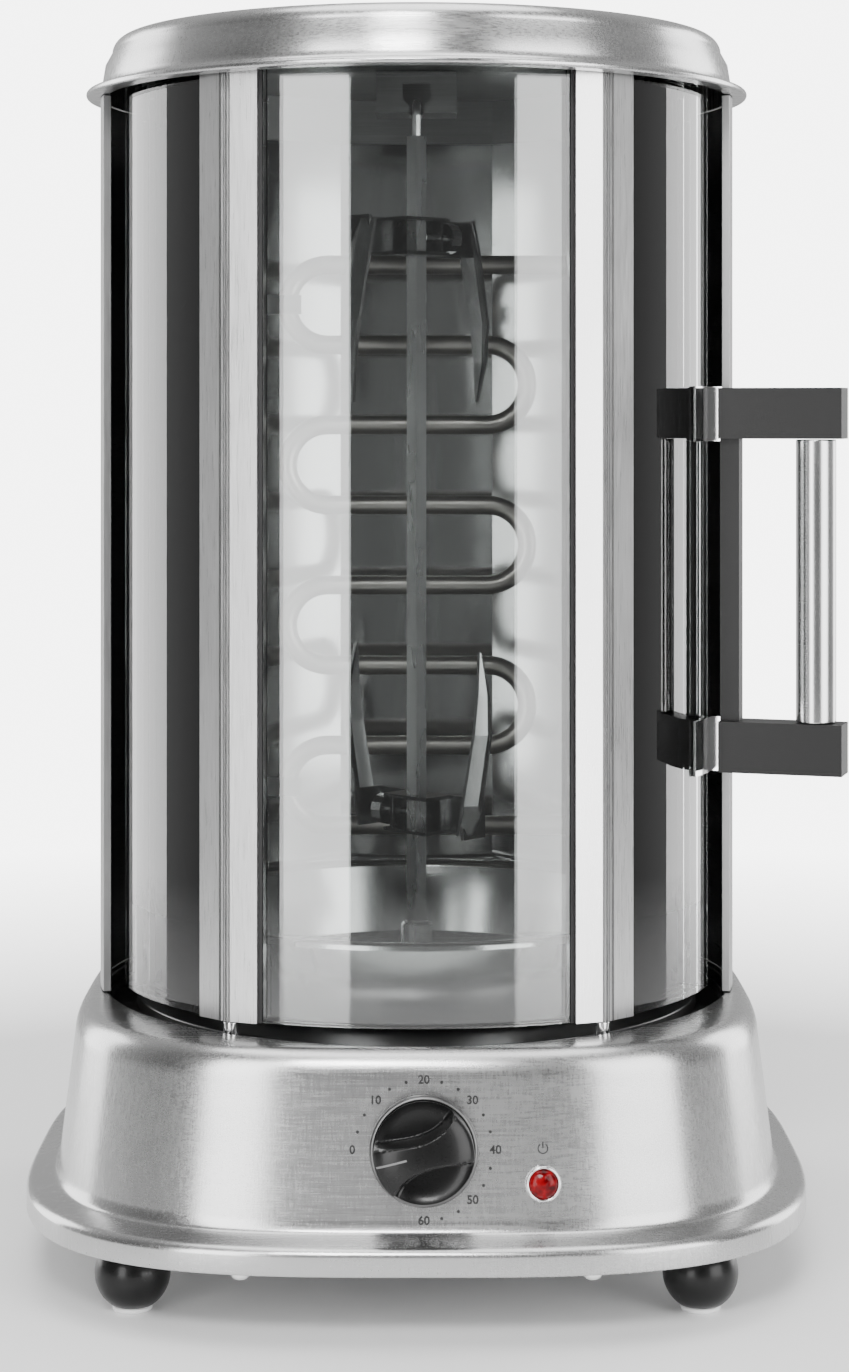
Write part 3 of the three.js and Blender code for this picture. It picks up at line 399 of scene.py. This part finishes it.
def red_lens_material():
    n = Nodes("red_lens")
    n.set(IOR=1.4, Specular_IOR_Level=0.25,
          Emission_Color=(0.9, 0.01, 0.01, 1), Emission_Strength=0.02)
    # The red goes lighter and darker with the facets: painted facet glints on a lens of one red. The same
    # noise gives the facets their roughness and bumps.
    facets_and_glints = n.noise((1, 0.2, 1), 420, 1.0)
    n.tint(n.remap(facets_and_glints, 0, 1), (0.03, 0.0, 0.001), (0.2, 0.001, 0.004))
    n.roughness(n.remap(facets_and_glints, 0.08, 0.2))
    n.bump(facets_and_glints, 0.0003)
    return n.material


steel_base = brushed("steel_base", 0.53, 0.25, "x", cross=0.42, fine=1500, stretch=0.6)
steel_lid = brushed("steel_lid", 0.58, 0.27, "x", cross=0.15, fine=1700, stretch=0.6)
steel_rear = brushed("steel_rear", 0.56, 0.32, "round", fine=2200, stretch=0.5)
steel_tube = polished("steel_tube", 0.6, 0.2)
rim_steel = polished("rim_steel", 0.13, 0.34)
pointer_grey = plastic("pointer_grey", 0.16, 0.5)
trim_grey = brushed("trim_grey", 0.36, 0.42, "z", fine=2600)
post_metal = brushed("post_metal", 0.78, 0.3, "z", fine=3200, depth=0.00001)
# painted shade: the dark lines along the posts' crests stand in for the shadow lines of their fine ribs
painted_rib_shade = brushed("painted_rib_shade", 0.2, 0.4, "z")
liner_steel = polished("liner_steel", 0.58, 0.08, smear=0.08, wave=0.0002)
dark_steel = brushed("dark_steel", 0.24, 0.34, "x", fine=1400)
tray_steel = polished("tray_steel", 0.36, 0.14, smear=0.09, wave=0.0002)
spit_steel = polished("spit_steel", 0.85, 0.24, smear=0.08)
fork_steel = polished("fork_steel", 0.26, 0.15, smear=0.06)
element_steel = polished("element_steel", 0.3, 0.3, warmth=0.05, smear=0.14)
zinc_steel = brushed("zinc_steel", 0.42, 0.42, "x", fine=1200)
chrome = polished("chrome", 0.85, 0.06, smear=0.04)
black_plastic = plastic("black_plastic", 0.006, 0.4)
gloss_black = plastic("gloss_black", 0.005, 0.3, depth=0.00001, coat=0.12)
black_rubber = plastic("black_rubber", 0.02, 0.6)
white_rubber = plastic("white_rubber", 0.72, 0.6)
white_plastic = plastic("white_plastic", 0.6, 0.5)
ceramic = plastic("ceramic", 0.62, 0.55)
print_black = plastic("print_black", 0.02, 0.5)
glass = clear_glass("glass")
red_lens = red_lens_material()


# ---------------------------------------------------------------- camera, floor and light

CAMERA_DISTANCE = 1130.0  # from the oven's axis
CAMERA_HEIGHT = 326.3
SENSOR = 36
FOCAL_SHARE = 2.06268  # focal length as a share of the picture's height
SHIFT_X, SHIFT_Y = 0.00583, -0.20117  # of the picture's middle, as shares of its height

camera = bpy.data.objects.new("camera", bpy.data.cameras.new("camera"))
bpy.context.scene.collection.objects.link(camera)
camera.location = (AXIS + Vector((0, -CAMERA_DISTANCE, CAMERA_HEIGHT))) * MM
camera.rotation_euler = (math.radians(90), 0, 0)
camera.data.sensor_width = SENSOR
camera.data.lens = SENSOR * FOCAL_SHARE
camera.data.shift_x = SHIFT_X
camera.data.shift_y = SHIFT_Y
bpy.context.scene.camera = camera

FLOOR_RADIUS = 2600
FRONT_DIM, BACK_BRIGHT, TOP_BRIGHT = 0.15, 0.6, 0.22  # what the oven sees before, behind and above it
BACKDROP = 6.0  # what the camera sees round the floor


def floor():
    """A pale round floor that fades into the white surroundings."""
    sides = 96
    points, faces = revolve([(0, 0), (FLOOR_RADIUS, 0)], sides)
    mesh = bpy.data.meshes.new("floor")
    mesh.from_pydata([tuple(p) for p in place(points)], [], faces[:sides])
    obj = bpy.data.objects.new("floor", mesh)
    bpy.context.scene.collection.objects.link(obj)
    n = Nodes("floor")
    n.set(Base_Color=(0.93, 0.93, 0.93, 1), Roughness=0.55, Specular_IOR_Level=0.25)
    gradient = n.new("ShaderNodeTexGradient", gradient_type="SPHERICAL")
    mapping = n.new("ShaderNodeMapping")
    mapping.inputs["Scale"].default_value = (0.8, 0.8, 0.8)
    n.link(n.coords, mapping.inputs["Vector"])
    n.link(mapping.outputs["Vector"], gradient.inputs["Vector"])
    n.link(n.remap(gradient.outputs["Fac"], 0, 1, 0.2, 0.68), n.shader.inputs["Alpha"])
    mesh.materials.append(n.material)


def world():
    """White to the camera. What is lit or mirrors it sees a dim front and a bright back."""
    scene_world = bpy.data.worlds.new("studio")
    bpy.context.scene.world = scene_world
    scene_world.use_nodes = True
    tree = scene_world.node_tree
    link = tree.links.new

    def ramp(value, start, end, low, high):
        node = tree.nodes.new("ShaderNodeMapRange")
        node.interpolation_type = "SMOOTHSTEP"
        for key, setting in (("From Min", start), ("From Max", end), ("To Min", low), ("To Max", high)):
            node.inputs[key].default_value = setting
        link(value, node.inputs["Value"])
        return node.outputs["Result"]

    direction = tree.nodes.new("ShaderNodeSeparateXYZ")
    link(tree.nodes.new("ShaderNodeTexCoord").outputs["Generated"], direction.inputs["Vector"])
    brightest = tree.nodes.new("ShaderNodeMath")
    brightest.operation = "MAXIMUM"
    link(ramp(direction.outputs["Y"], -0.6, 0.6, FRONT_DIM, BACK_BRIGHT), brightest.inputs[0])
    link(ramp(direction.outputs["Z"], 0.12, 0.5, 0.0, TOP_BRIGHT), brightest.inputs[1])
    colour = tree.nodes.new("ShaderNodeCombineColor")
    for channel in ("Red", "Green", "Blue"):
        link(brightest.outputs["Value"], colour.inputs[channel])
    mix = tree.nodes.new("ShaderNodeMix")
    mix.data_type = "RGBA"
    link(tree.nodes.new("ShaderNodeLightPath").outputs["Is Camera Ray"], mix.inputs["Factor"])
    link(colour.outputs["Color"], mix.inputs["A"])
    mix.inputs["B"].default_value = (BACKDROP, BACKDROP, BACKDROP, 1)
    link(mix.outputs["Result"], tree.nodes["Background"].inputs["Color"])


def softbox(name, azimuth, distance, height, width, tall, power, tilt=0):
    """An upright area light round the oven. Azimuth is in degrees from the front."""
    light = bpy.data.lights.new(name, "AREA")
    light.shape = "RECTANGLE"
    light.size = width * MM
    light.size_y = tall * MM
    light.energy = power
    obj = bpy.data.objects.new(name, light)
    bpy.context.scene.collection.objects.link(obj)
    angle = math.radians(azimuth)
    spot = Vector((distance * math.sin(angle), -distance * math.cos(angle), height))
    obj.location = (AXIS + spot) * MM
    obj.rotation_euler = (math.radians(90 + tilt), 0, angle)


floor()
world()
softbox("light_left", -28.5, 1500, 420, 520, 1750, 21)
softbox("light_right", 45, 1500, 420, 917, 1750, 31)
softbox("light_lid", -6, 1500, 1290, 480, 360, 18, tilt=-28)
softbox("back_left", -121, 1500, 500, 800, 1400, 16)
softbox("back_right", 121, 1500, 500, 800, 1400, 16)
top = bpy.data.objects.new("light_top", bpy.data.lights.new("light_top", "AREA"))
top.data.shape = "DISK"
top.data.size = 1.4
top.data.energy = 20
top.location = (AXIS + Vector((0, -200, 1700))) * MM
bpy.context.scene.collection.objects.link(top)

# ---------------------------------------------------------------- base

flange_half = base.size.x / 2
foot_z = base.low.z
BODY_INSET = 12.0  # flange's edge to the foot of the body
SHOULDER_INSET = 18.0  # flange's edge to the body's shoulder
BODY_RISE = 15.6  # underside of the flange to the foot of the body
SHOULDER_WIDTH, SHOULDER_HEIGHT = 7.5, 11.0
body_half = flange_half - BODY_INSET
shoulder_half = flange_half - SHOULDER_INSET
body_z = foot_z + BODY_RISE
shoulder_z = deck - SHOULDER_HEIGHT
recess = pan.size.x / 2 + 0.3
groove_z = pan.low.z + 1.2


def plan_ring(half, z, exponent, count=240):
    """One ring of the base: square-sided for a high exponent, round for 2."""
    ring = []
    for i in range(count):
        c, s = math.cos(TAU * i / count), math.sin(TAU * i / count)
        reach = half / (abs(c) ** exponent + abs(s) ** exponent) ** (1 / exponent)
        ring.append((reach * c, reach * s, z))
    return ring


def wall_place(x, z):
    """Matrix of a place on the base's front wall: +Z points out of the wall and +Y up it."""
    rise = (z - body_z) / (shoulder_z - body_z)
    half = body_half + (shoulder_half - body_half) * rise
    y = -half * (1 - abs(x / half) ** SQUARENESS) ** (1 / SQUARENESS)
    slope = [math.copysign(abs(v / half) ** (SQUARENESS - 1), v) for v in (x, y)]
    outward = Vector((*slope, (body_half - shoulder_half) / (shoulder_z - body_z))).normalized()
    across = Vector((0, 0, 1)).cross(outward).normalized()
    basis = Matrix((across, outward.cross(across), outward)).transposed().to_4x4()
    return Matrix.Translation(AXIS + Vector((x, y, z))) @ basis


def base_skin():
    """Outer and inner rings of the pressed base, rounded at every fold."""
    lip = foot_z + 8
    outer = fillet([
        (flange_half - 1.2, foot_z), (flange_half, foot_z + 0.3), (flange_half, lip),
        (flange_half - 1.6, lip + 1.9), (body_half + 1.2, body_z - 3.4), (body_half, body_z),
        (shoulder_half, shoulder_z)], 1.4)
    outer += arc(shoulder_half - SHOULDER_WIDTH, shoulder_z, SHOULDER_WIDTH, SHOULDER_HEIGHT,
                 12, 90, 8)
    rings = [plan_ring(half, z, SQUARENESS) for half, z in outer]
    round_part = [(recess + 1.7, deck), (recess + 0.7, deck - 0.3), (recess + 0.1, deck - 1.1),
                  (recess, deck - 2.2), (recess, groove_z), (recess + 1.2, groove_z),
                  (recess + 1.2, deck - 2)]
    rings += [plan_ring(radius, z, 2) for radius, z in round_part]
    sheet = 1.2
    inner = arc(shoulder_half - SHOULDER_WIDTH, shoulder_z, SHOULDER_WIDTH - sheet,
                SHOULDER_HEIGHT - sheet, 90, 0, 6)
    inner += [(body_half - sheet, body_z - 0.6), (body_half + 0.4, body_z - 4.4),
              (flange_half - 2.4, lip), (flange_half - sheet, foot_z)]
    return rings + [plan_ring(half, z, SQUARENESS) for half, z in inner]


points, faces = loft(base_skin())
add("base_pressing", points, faces, steel_base, "housing", "base_shell", sharp=50)

points, faces = revolve(fillet([
    (6.5, pan.high.z - 1.2), (recess - 13, pan.high.z - 1.2), (recess - 13, pan.low.z),
    (recess - 0.3, pan.low.z), (recess - 0.3, groove_z + 3), (recess - 1.5, groove_z + 3),
    (recess - 1.5, groove_z), (recess - 11.6, groove_z), (recess - 11.6, pan.high.z),
    (6.5, pan.high.z)], 0.8), 160)
add("floor_pressing", points, faces, dark_steel, "housing", "floor_pan")

BALL_RISE = 11.3  # a ball foot's flat underside to its centre
for depth in ("front", "rear"):
    for side in ("left", "right"):
        ball = Span(f"foot_{depth}_{side}")
        pad = Span(f"foot_pad_{depth}_{side}")
        spot = Matrix.Translation(Vector((ball.mid.x, ball.mid.y, 0)))
        radius = ball.size.x / 2
        centre = ball.low.z + BALL_RISE
        low = math.degrees(math.asin((ball.low.z - centre) / radius))
        high = math.degrees(math.asin(min(1, (ball.high.z - centre) / radius)))
        points, faces = revolve(
            [(0, ball.low.z), *arc(0, centre, radius, radius, low, high, 20), (0, ball.high.z)], 64)
        add(f"ball_foot_{depth}_{side}", points, faces, gloss_black, "housing",
            f"foot_{depth}_{side}", matrix=spot)
        half = pad.size.x / 2
        points, faces = revolve(fillet([
            (0, 0), (half - 0.8, 0), (half, 0.7), (half, pad.high.z - 0.5), (half - 0.5, pad.high.z),
            (0, pad.high.z)], 0.4), 48)
        add(f"foot_disc_{depth}_{side}", points, faces, white_rubber, "housing",
            f"foot_pad_{depth}_{side}", matrix=spot)


# ---------------------------------------------------------------- finish of the plain CAD nodes

def finish_node(name, material, bevel):
    """Gives a CAD node a material, and rounded edges if bevel is set."""
    obj = frame["nodes"][name]
    obj.data.materials.clear()
    obj.data.materials.append(material)
    if bevel:
        round_edges(obj, bevel)


for name, material, bevel in (
    ("bottom_plate", zinc_steel, 0), ("motor_bracket", zinc_steel, 0.4),
    ("gear_motor", zinc_steel, 0), ("timer_body", white_plastic, 0.8),
    ("timer_shaft", zinc_steel, 0), ("terminal_block", white_plastic, 0),
    ("thermal_cutout", black_plastic, 0), ("post_left", post_metal, 0),
    ("post_right", post_metal, 0), ("post_seal_left", black_rubber, 0),
    ("post_seal_right", black_rubber, 0), ("liner", liner_steel, 0), ("ceiling_plate", dark_steel, 0),
    ("spit_bracket", dark_steel, 0.25), ("spit_rod", spit_steel, 0.25),
    ("handle_bracket", black_plastic, 1.3), ("handle_clip_upper", chrome, 0.3),
    ("handle_clip_lower", chrome, 0.3), ("fork_upper", fork_steel, 0.25),
    ("fork_lower", fork_steel, 0.25), ("drive_hub", spit_steel, 0.3),
    ("element_clip_upper", chrome, 0.2), ("element_clip_lower", chrome, 0.2),
    ("element_terminal_upper", ceramic, 0), ("element_terminal_lower", ceramic, 0),
    ("thumbscrew_upper", chrome, 0), ("thumbscrew_lower", chrome, 0),
):
    finish_node(name, material, bevel)


# ---------------------------------------------------------------- housing

def lid_profile():
    """The lid's outer and inner profile, from the brim up to the crown and back."""
    bottom, crown = lid.low.z, lid.high.z
    wall = shell_radius - 0.8
    bead = 1.25
    bead_x = lid.size.x / 2 - bead
    shoulder = 6.0
    shoulder_x = wall - 3.8 - shoulder
    sheet = 1.2
    neck_x, neck_z = wall - 1.1, bottom + 12.7  # where the wall turns into the shoulder
    outside = [(wall - sheet, bottom), *arc(bead_x, bottom + bead, bead, bead, -90, 90, 10),
               (wall + 1.6, bottom + 2 * bead + 0.3), (wall + 0.3, bottom + 2 * bead + 1.6),
               (wall, bottom + 6), (neck_x, neck_z)]
    outside += arc(shoulder_x, crown - 2 - shoulder, shoulder, shoulder, 0, 90, 12)
    outside += [(shoulder_x * 0.94, crown - 1.6), (shoulder_x * 0.6, crown - 0.7), (0, crown)]
    inside = [(0, crown - sheet), (shoulder_x * 0.6, crown - 0.7 - sheet)]
    inside += arc(shoulder_x, crown - 2 - shoulder, shoulder - sheet, shoulder - sheet, 90, 0, 6)
    inside += [(neck_x - sheet, neck_z), (wall - sheet, bottom + 6)]
    return outside + inside


points, faces = revolve(lid_profile(), 240)
add("lid_pressing", points, faces, steel_lid, "housing", "lid", sharp=50)

CASING_START, CASING_SHEET = 90.3, 1  # degrees from the front, and millimetres
casing = [front_arc(CASING_START, 360 - CASING_START, radius, 120)
          for radius in (shell_radius - CASING_SHEET, shell_radius)]
points, faces = strip(*casing, rear.low.z, rear.high.z)
add("rear_casing", points, faces, steel_rear, "housing", "rear_shell")
TRIM_ANGLE, TRIM_DEPTH = 14, 3.1  # degrees round the shell, and millimetres
for side, start in (("left", -90), ("right", 90 - TRIM_ANGLE)):
    points, faces = strip(front_arc(start, start + TRIM_ANGLE, shell_radius - TRIM_DEPTH, 16),
                          front_arc(start, start + TRIM_ANGLE, shell_radius, 16),
                          rear.low.z, rear.high.z)
    add(f"edge_trim_{side}", points, faces, trim_grey, "housing", f"side_trim_{side}", bevel=0.3)


# ---------------------------------------------------------------- door glass

DOOR_ANGLE = 72.5  # of the door's edges, from the front
GLASS_THICKNESS = 4.0
FRONT_BOW = 10.2  # the front pane's middle stands this far before its edges
side_glass = Span("right_glass")
glass_radius = (side_glass.high.x - AXIS.x) / math.sin(math.radians(DOOR_ANGLE))
SIDE_START = math.degrees(math.asin((side_glass.low.x - AXIS.x) / (glass_radius - GLASS_THICKNESS)))
for side, sign in (("left", -1), ("right", 1)):
    rows = [[(sign * x, y) for x, y in front_arc(SIDE_START, DOOR_ANGLE, radius, 28)]
            for radius in (glass_radius - GLASS_THICKNESS, glass_radius)]
    # mirrored rows change places, so that the faces still look outwards
    points, faces = strip(*(rows if sign > 0 else rows[::-1]), *glass_z)
    add(f"{side}_pane", points, faces, glass, "door", f"{side}_glass", bevel=0.4)

half = front.size.x / 2
front_radius = (half ** 2 + FRONT_BOW ** 2) / (2 * FRONT_BOW)
sweep = math.degrees(math.asin(half / front_radius))
centre_y = front.low.y - AXIS.y + front_radius
rows = [arc(0, centre_y, front_radius - inset, front_radius - inset, -90 - sweep, -90 + sweep, 40)
        for inset in (GLASS_THICKNESS, 0)]
points, faces = strip(*rows, *glass_z)
add("front_pane", points, faces, glass, "door", "front_glass", bevel=0.4)


POST_MIDDLE = 35.35  # degrees from the front
POST_CREST = 121.3  # radius of a post's outer face
RIB_COUNT, RIB_PITCH, RIB_HALF = 6, 0.42, 0.07  # number, and degrees
RIB_DEPTH, RIB_PROUD = 0.9, 0.05
# Thin dark strips along each post's crest, a hair proud of it, are painted shade: they stand in for the
# shadow lines between the post's fine ribs.
for side, sign in (("left", -1), ("right", 1)):
    for index in range(RIB_COUNT):
        angle = sign * (POST_MIDDLE + (index - (RIB_COUNT - 1) / 2) * RIB_PITCH)
        rows = [front_arc(angle - RIB_HALF, angle + RIB_HALF, radius, 1)
                for radius in (POST_CREST - RIB_DEPTH, POST_CREST + RIB_PROUD)]
        points, faces = strip(*rows, *glass_z)
        add(f"post_rib_shade_line_{side}_{index}", points, faces, painted_rib_shade, "door")


# ---------------------------------------------------------------- round pieces of the door

def upright(name, node, material, body, chamfer, steps=48):
    """A round upright rod that takes its CAD node's place."""
    span = Span(node)
    radius = span.size.x / 2
    z0, z1 = span.low.z, span.high.z
    points, faces = revolve(fillet([
        (0, z0), (radius - chamfer, z0), (radius, z0 + chamfer), (radius, z1 - chamfer),
        (radius - chamfer, z1), (0, z1)], chamfer), steps)
    spot = Matrix.Translation(Vector((span.mid.x, span.mid.y, 0)))
    add(name, points, faces, material, body, node, matrix=spot)


for side in ("left", "right"):
    for end in ("bottom", "top"):
        upright(f"guide_pin_{end}_{side}", f"door_pin_{end}_{side}", chrome, "door", 0.5)
upright("grip_tube", "handle_tube", steel_tube, "door", 0.3, 96)


# ---------------------------------------------------------------- heating element

element = Span("heating_element")
ROWS = 8
ROD_RADIUS = 4.0
BEND_LEFT, BEND_RIGHT = -37.7, 30.0  # X of the bends' centres
pitch = (element.size.z - 2 * ROD_RADIUS) / (ROWS - 1)
row_depth = element.mid.y - AXIS.y


def element_path():
    """The serpentine from the lower terminal to the upper one."""
    end = element.high.x - AXIS.x
    low = element.low.z + ROD_RADIUS
    path = [(end, row_depth, low)]
    for row in range(ROWS - 1):
        side = 1 if row % 2 else -1
        bend = BEND_RIGHT if side > 0 else BEND_LEFT
        middle = low + (row + 0.5) * pitch
        path += [(bend + side * pitch / 2 * math.cos(a), row_depth, middle + pitch / 2 * math.sin(a))
                 for a in (math.pi * (i / 20 - 0.5) for i in range(21))]
    return path + [(end, row_depth, low + (ROWS - 1) * pitch)]


points, faces = tube(element_path(), ROD_RADIUS, 28)
add("element_tube", points, faces, element_steel, "housing", "heating_element")


# ---------------------------------------------------------------- drip tray

def tray_profile():
    """The tray's profile: raised middle, gutter, sloping wall and rolled rim."""
    bottom, top = tray.low.z, tray.high.z
    rim = tray.size.x / 2 - 1.2
    wall_top = rim - 5
    gutter = wall_top - 12
    hole = 8.15
    sheet = 1.0
    under = fillet([(hole, bottom + 8), (gutter - 14, bottom + 8), (gutter - 10, bottom),
                    (gutter, bottom), (gutter + 4, bottom + 3), (wall_top, top - 2 - sheet)], 2.5)
    under += fillet([(wall_top, top - 2), (rim, top - 1 - sheet), (rim + 0.4, top - 3)], 0.8)
    over = [(rim + 1.2, top - 3), (rim + 1.2, top - 1.4), (rim + 0.6, top - 0.3), (rim - 0.6, top)]
    over += fillet([(rim - 0.6, top), (wall_top - sheet, top - 0.8), (gutter + 4 - sheet, bottom + 3.4),
                    (gutter - 0.6, bottom + sheet), (gutter - 9.4, bottom + sheet),
                    (gutter - 13.4, bottom + 8 + sheet), (hole, bottom + 8 + sheet)], 2.5)[1:]
    return under + over


points, faces = revolve(tray_profile(), 200)
add("tray_pressing", points, faces, tray_steel, "tray", "drip_tray", sharp=50)


# ---------------------------------------------------------------- controls on the base's wall

KNOB_X, KNOB_DROP = 2.6, 34  # right of the oven's middle and below the deck
LAMP_X, LAMP_DROP = 44.5, 45.7
KNOB_RADIUS, KNOB_HEIGHT = 19.3, 20.0
knob_place = wall_place(KNOB_X, deck - KNOB_DROP)
lamp_place = wall_place(LAMP_X, deck - LAMP_DROP)


def bezier(a, b, c, d, steps):
    """Points of a cubic curve in the plane."""
    points = []
    for i in range(steps + 1):
        t = i / steps
        shares = ((1 - t) ** 3, 3 * t * (1 - t) ** 2, 3 * t * t * (1 - t), t ** 3)
        points.append(Vector([sum(w * p[k] for w, p in zip(shares, (a, b, c, d))) for k in (0, 1)]))
    return points


# the upper edge of the knob's bar; the lower edge is the same line turned half round
pocket_edge = bezier((-19.3, 1.8), (-8, 3.4), (5, 2.6), (10.9, 14.5), 40)


def into_pocket(x, y):
    """How far a point of the knob's face lies inside the upper pocket, negative outside it."""
    point = Vector((x, y))
    best, side = math.inf, 1
    for a, b in zip(pocket_edge, pocket_edge[1:]):
        along = b - a
        share = max(0, min(1, (point - a).dot(along) / along.length_squared))
        gap = point - a.lerp(b, share)
        if gap.length < best:
            best = gap.length
            side = 1 if along.x * gap.y - along.y * gap.x > 0 else -1
    return best * side


def smooth(value):
    """Eases a value from 0 to 1, and holds it there outside them."""
    value = max(0, min(1, value))
    return value * value * (3 - 2 * value)


def knob_height(x, y):
    """Height of the knob's face: a domed bar that curves between two scooped pockets."""
    reach = min(1, math.hypot(x, y) / (KNOB_RADIUS - 1.6))
    crown = 5
    dome = KNOB_HEIGHT - crown + crown * math.sqrt(max(0, 1 - reach ** 2))
    depth = max(into_pocket(x, y), into_pocket(-x, -y))
    scoop = 5.6 + 2.0 * reach ** 6
    return dome + (scoop - dome) * smooth((depth + 0.5) / 1.9)


def knob():
    """Points and faces of the knob."""
    steps, rings = 160, 44
    face = KNOB_RADIUS - 1.7
    radii = [face * i / rings for i in range(1, rings + 1)]
    points = [(0, 0, knob_height(0, 0))]
    for radius in radii:
        for i in range(steps):
            x, y = radius * math.cos(TAU * i / steps), radius * math.sin(TAU * i / steps)
            points.append((x, y, knob_height(x, y)))
    for i in range(steps):
        points.append((face * math.cos(TAU * i / steps), face * math.sin(TAU * i / steps), 1.2))
    faces = [(0, 1 + i, 1 + (i + 1) % steps) for i in range(steps)]
    for ring in range(rings):
        low, high = 1 + ring * steps, 1 + (ring + 1) * steps
        faces += [(low + i, high + i, high + (i + 1) % steps, low + (i + 1) % steps)
                  for i in range(steps)]
    faces.append(tuple(range(len(points) - steps, len(points)))[::-1])
    return points, faces


points, faces = knob()
add("knob_body", points, faces, gloss_black, "timer", "timer_knob", matrix=knob_place, sharp=60)
rim = KNOB_RADIUS
points, faces = revolve(fillet([
    (rim - 1.9, 1.0), (rim, 1.0), (rim, 3.4), (rim - 0.5, 4.6), (rim - 1.4, 4.9), (rim - 1.9, 4.2)],
    0.3), 160)
add("knob_rim", points, faces, rim_steel, "timer", matrix=knob_place)


def knob_mark(name, start, end, width, material):
    """A thin raised line across the knob's bar."""
    start, end = Vector(start), Vector(end)
    side = (end - start).orthogonal().normalized() * width / 2
    points, faces, steps = [], [], 24
    for i in range(steps + 1):
        spot = start.lerp(end, i / steps)
        for edge in (spot - side, spot + side):
            points.append((edge.x, edge.y, knob_height(edge.x, edge.y) + 0.06))
    for i in range(steps):
        faces.append((2 * i, 2 * i + 2, 2 * i + 3, 2 * i + 1))
    add(name, points, faces, material, "timer", matrix=knob_place)


knob_mark("knob_pointer", (-16.6, -3.9), (-6.0, -1.0), 0.7, pointer_grey)


PRINT_LOW, PRINT_HIGH = 0.05, 0.14  # a print's two faces above the wall
DIGIT_SHARE = 0.7  # a digit's height as a share of its font's size


def printed(name, text, x, z, height):
    """Small printed characters, centred on a place on the base's wall."""
    curve = bpy.data.curves.new(name, "FONT")
    curve.body = text
    curve.size = height / DIGIT_SHARE
    curve.align_x = "CENTER"
    curve.align_y = "CENTER"
    curve.offset = 0.09
    letters = bpy.data.objects.new(name + "_outline", curve)
    bpy.context.scene.collection.objects.link(letters)
    bpy.context.view_layer.update()
    graph = bpy.context.evaluated_depsgraph_get()
    flat = bpy.data.meshes.new_from_object(letters.evaluated_get(graph))
    points = [(v.co.x, v.co.y, 0.12) for v in flat.vertices]
    faces = [tuple(face.vertices) for face in flat.polygons]
    bpy.data.objects.remove(letters)
    bpy.data.meshes.remove(flat)
    add(name, points, faces, print_black, "housing", matrix=wall_place(x, z))


def dot(name, x, z, radius):
    """A small printed dot on the base's wall."""
    points, faces = revolve(
        [(0, PRINT_LOW), (radius, PRINT_LOW), (radius, PRINT_HIGH), (0, PRINT_HIGH)], 20)
    add(name, points, faces, print_black, "housing", matrix=wall_place(x, z))


DIAL_RADIUS = 24.2
DIGIT_HEIGHT, DOT_RADIUS = 2.9, 0.55
LEAN = math.cos(math.atan2(body_half - shoulder_half, shoulder_z - body_z))  # rise per length up the wall


def dial_spot(angle, reach=DIAL_RADIUS):
    """X and Z of a place on the dial. The angle is in degrees from +X."""
    turn = math.radians(angle)
    return KNOB_X + reach * math.cos(turn), deck - KNOB_DROP + reach * math.sin(turn) * LEAN


for minutes in range(0, 70, 10):
    angle = 180 - 4.5 * minutes
    reach = DIAL_RADIUS + (1.0 if angle in (0, 180) else 0)
    printed(f"dial_{minutes}", str(minutes), *dial_spot(angle, reach), DIGIT_HEIGHT)
for index in range(17):
    angle = 165 - 15 * index
    if angle % 45:
        dot(f"dial_dot_{index}", *dial_spot(angle), DOT_RADIUS)


def power_mark():
    """The usual power sign, a broken ring with a bar, above the lamp."""
    spot = wall_place(LAMP_X, deck - LAMP_DROP + 12)
    ring = [arc(0, 0, radius, radius, 125, 415, 40) for radius in (1.5, 1.9)]
    points, faces = strip(*ring, PRINT_LOW, PRINT_HIGH)
    add("power_ring", points, faces, print_black, "housing", matrix=spot)
    points, faces = prism([(-0.2, 0.1), (0.2, 0.1), (0.2, 2.3), (-0.2, 2.3)], PRINT_LOW, PRINT_HIGH)
    add("power_bar", points, faces, print_black, "housing", matrix=spot)


power_mark()

LAMP_RADIUS = 6.35
points, faces = revolve([
    (LAMP_RADIUS - 1.3, 0.3), *arc(LAMP_RADIUS - 0.7, 0.9, 0.7, 1.1, -30, 200, 14)], 96)
add("lamp_bezel", points, faces, chrome, "housing", "pilot_bezel", matrix=lamp_place)
lens = LAMP_RADIUS - 1.35
points, faces = revolve([
    (0, -14), (lens - 0.2, -14), (lens - 0.2, 0.2), (lens, 0.3), *arc(0, 1.2, lens, 2.2, 0, 88, 16),
    (0, 3.4)], 96)
add("lamp_lens", points, faces, red_lens, "housing", "pilot_lens", matrix=lamp_place)


# ---------------------------------------------------------------- screws under the base

SCREW_X, SCREW_Y = 61.5, 141.5
SCREW_RADIUS = 3.6
screw_low, screw_high = foot_z - 2.6, foot_z + 0.9
for depth, y in (("front", -SCREW_Y), ("rear", SCREW_Y)):
    for side, x in (("left", -SCREW_X), ("right", SCREW_X)):
        points, faces = revolve(fillet([
            (0, screw_low), (SCREW_RADIUS - 1.4, screw_low), (SCREW_RADIUS, screw_low + 1.4),
            (SCREW_RADIUS, screw_high), (0, screw_high)], 0.9), 40)
        spot = Matrix.Translation(AXIS + Vector((x, y, 0)))
        add(f"plate_screw_{depth}_{side}", points, faces, chrome, "housing", matrix=spot)
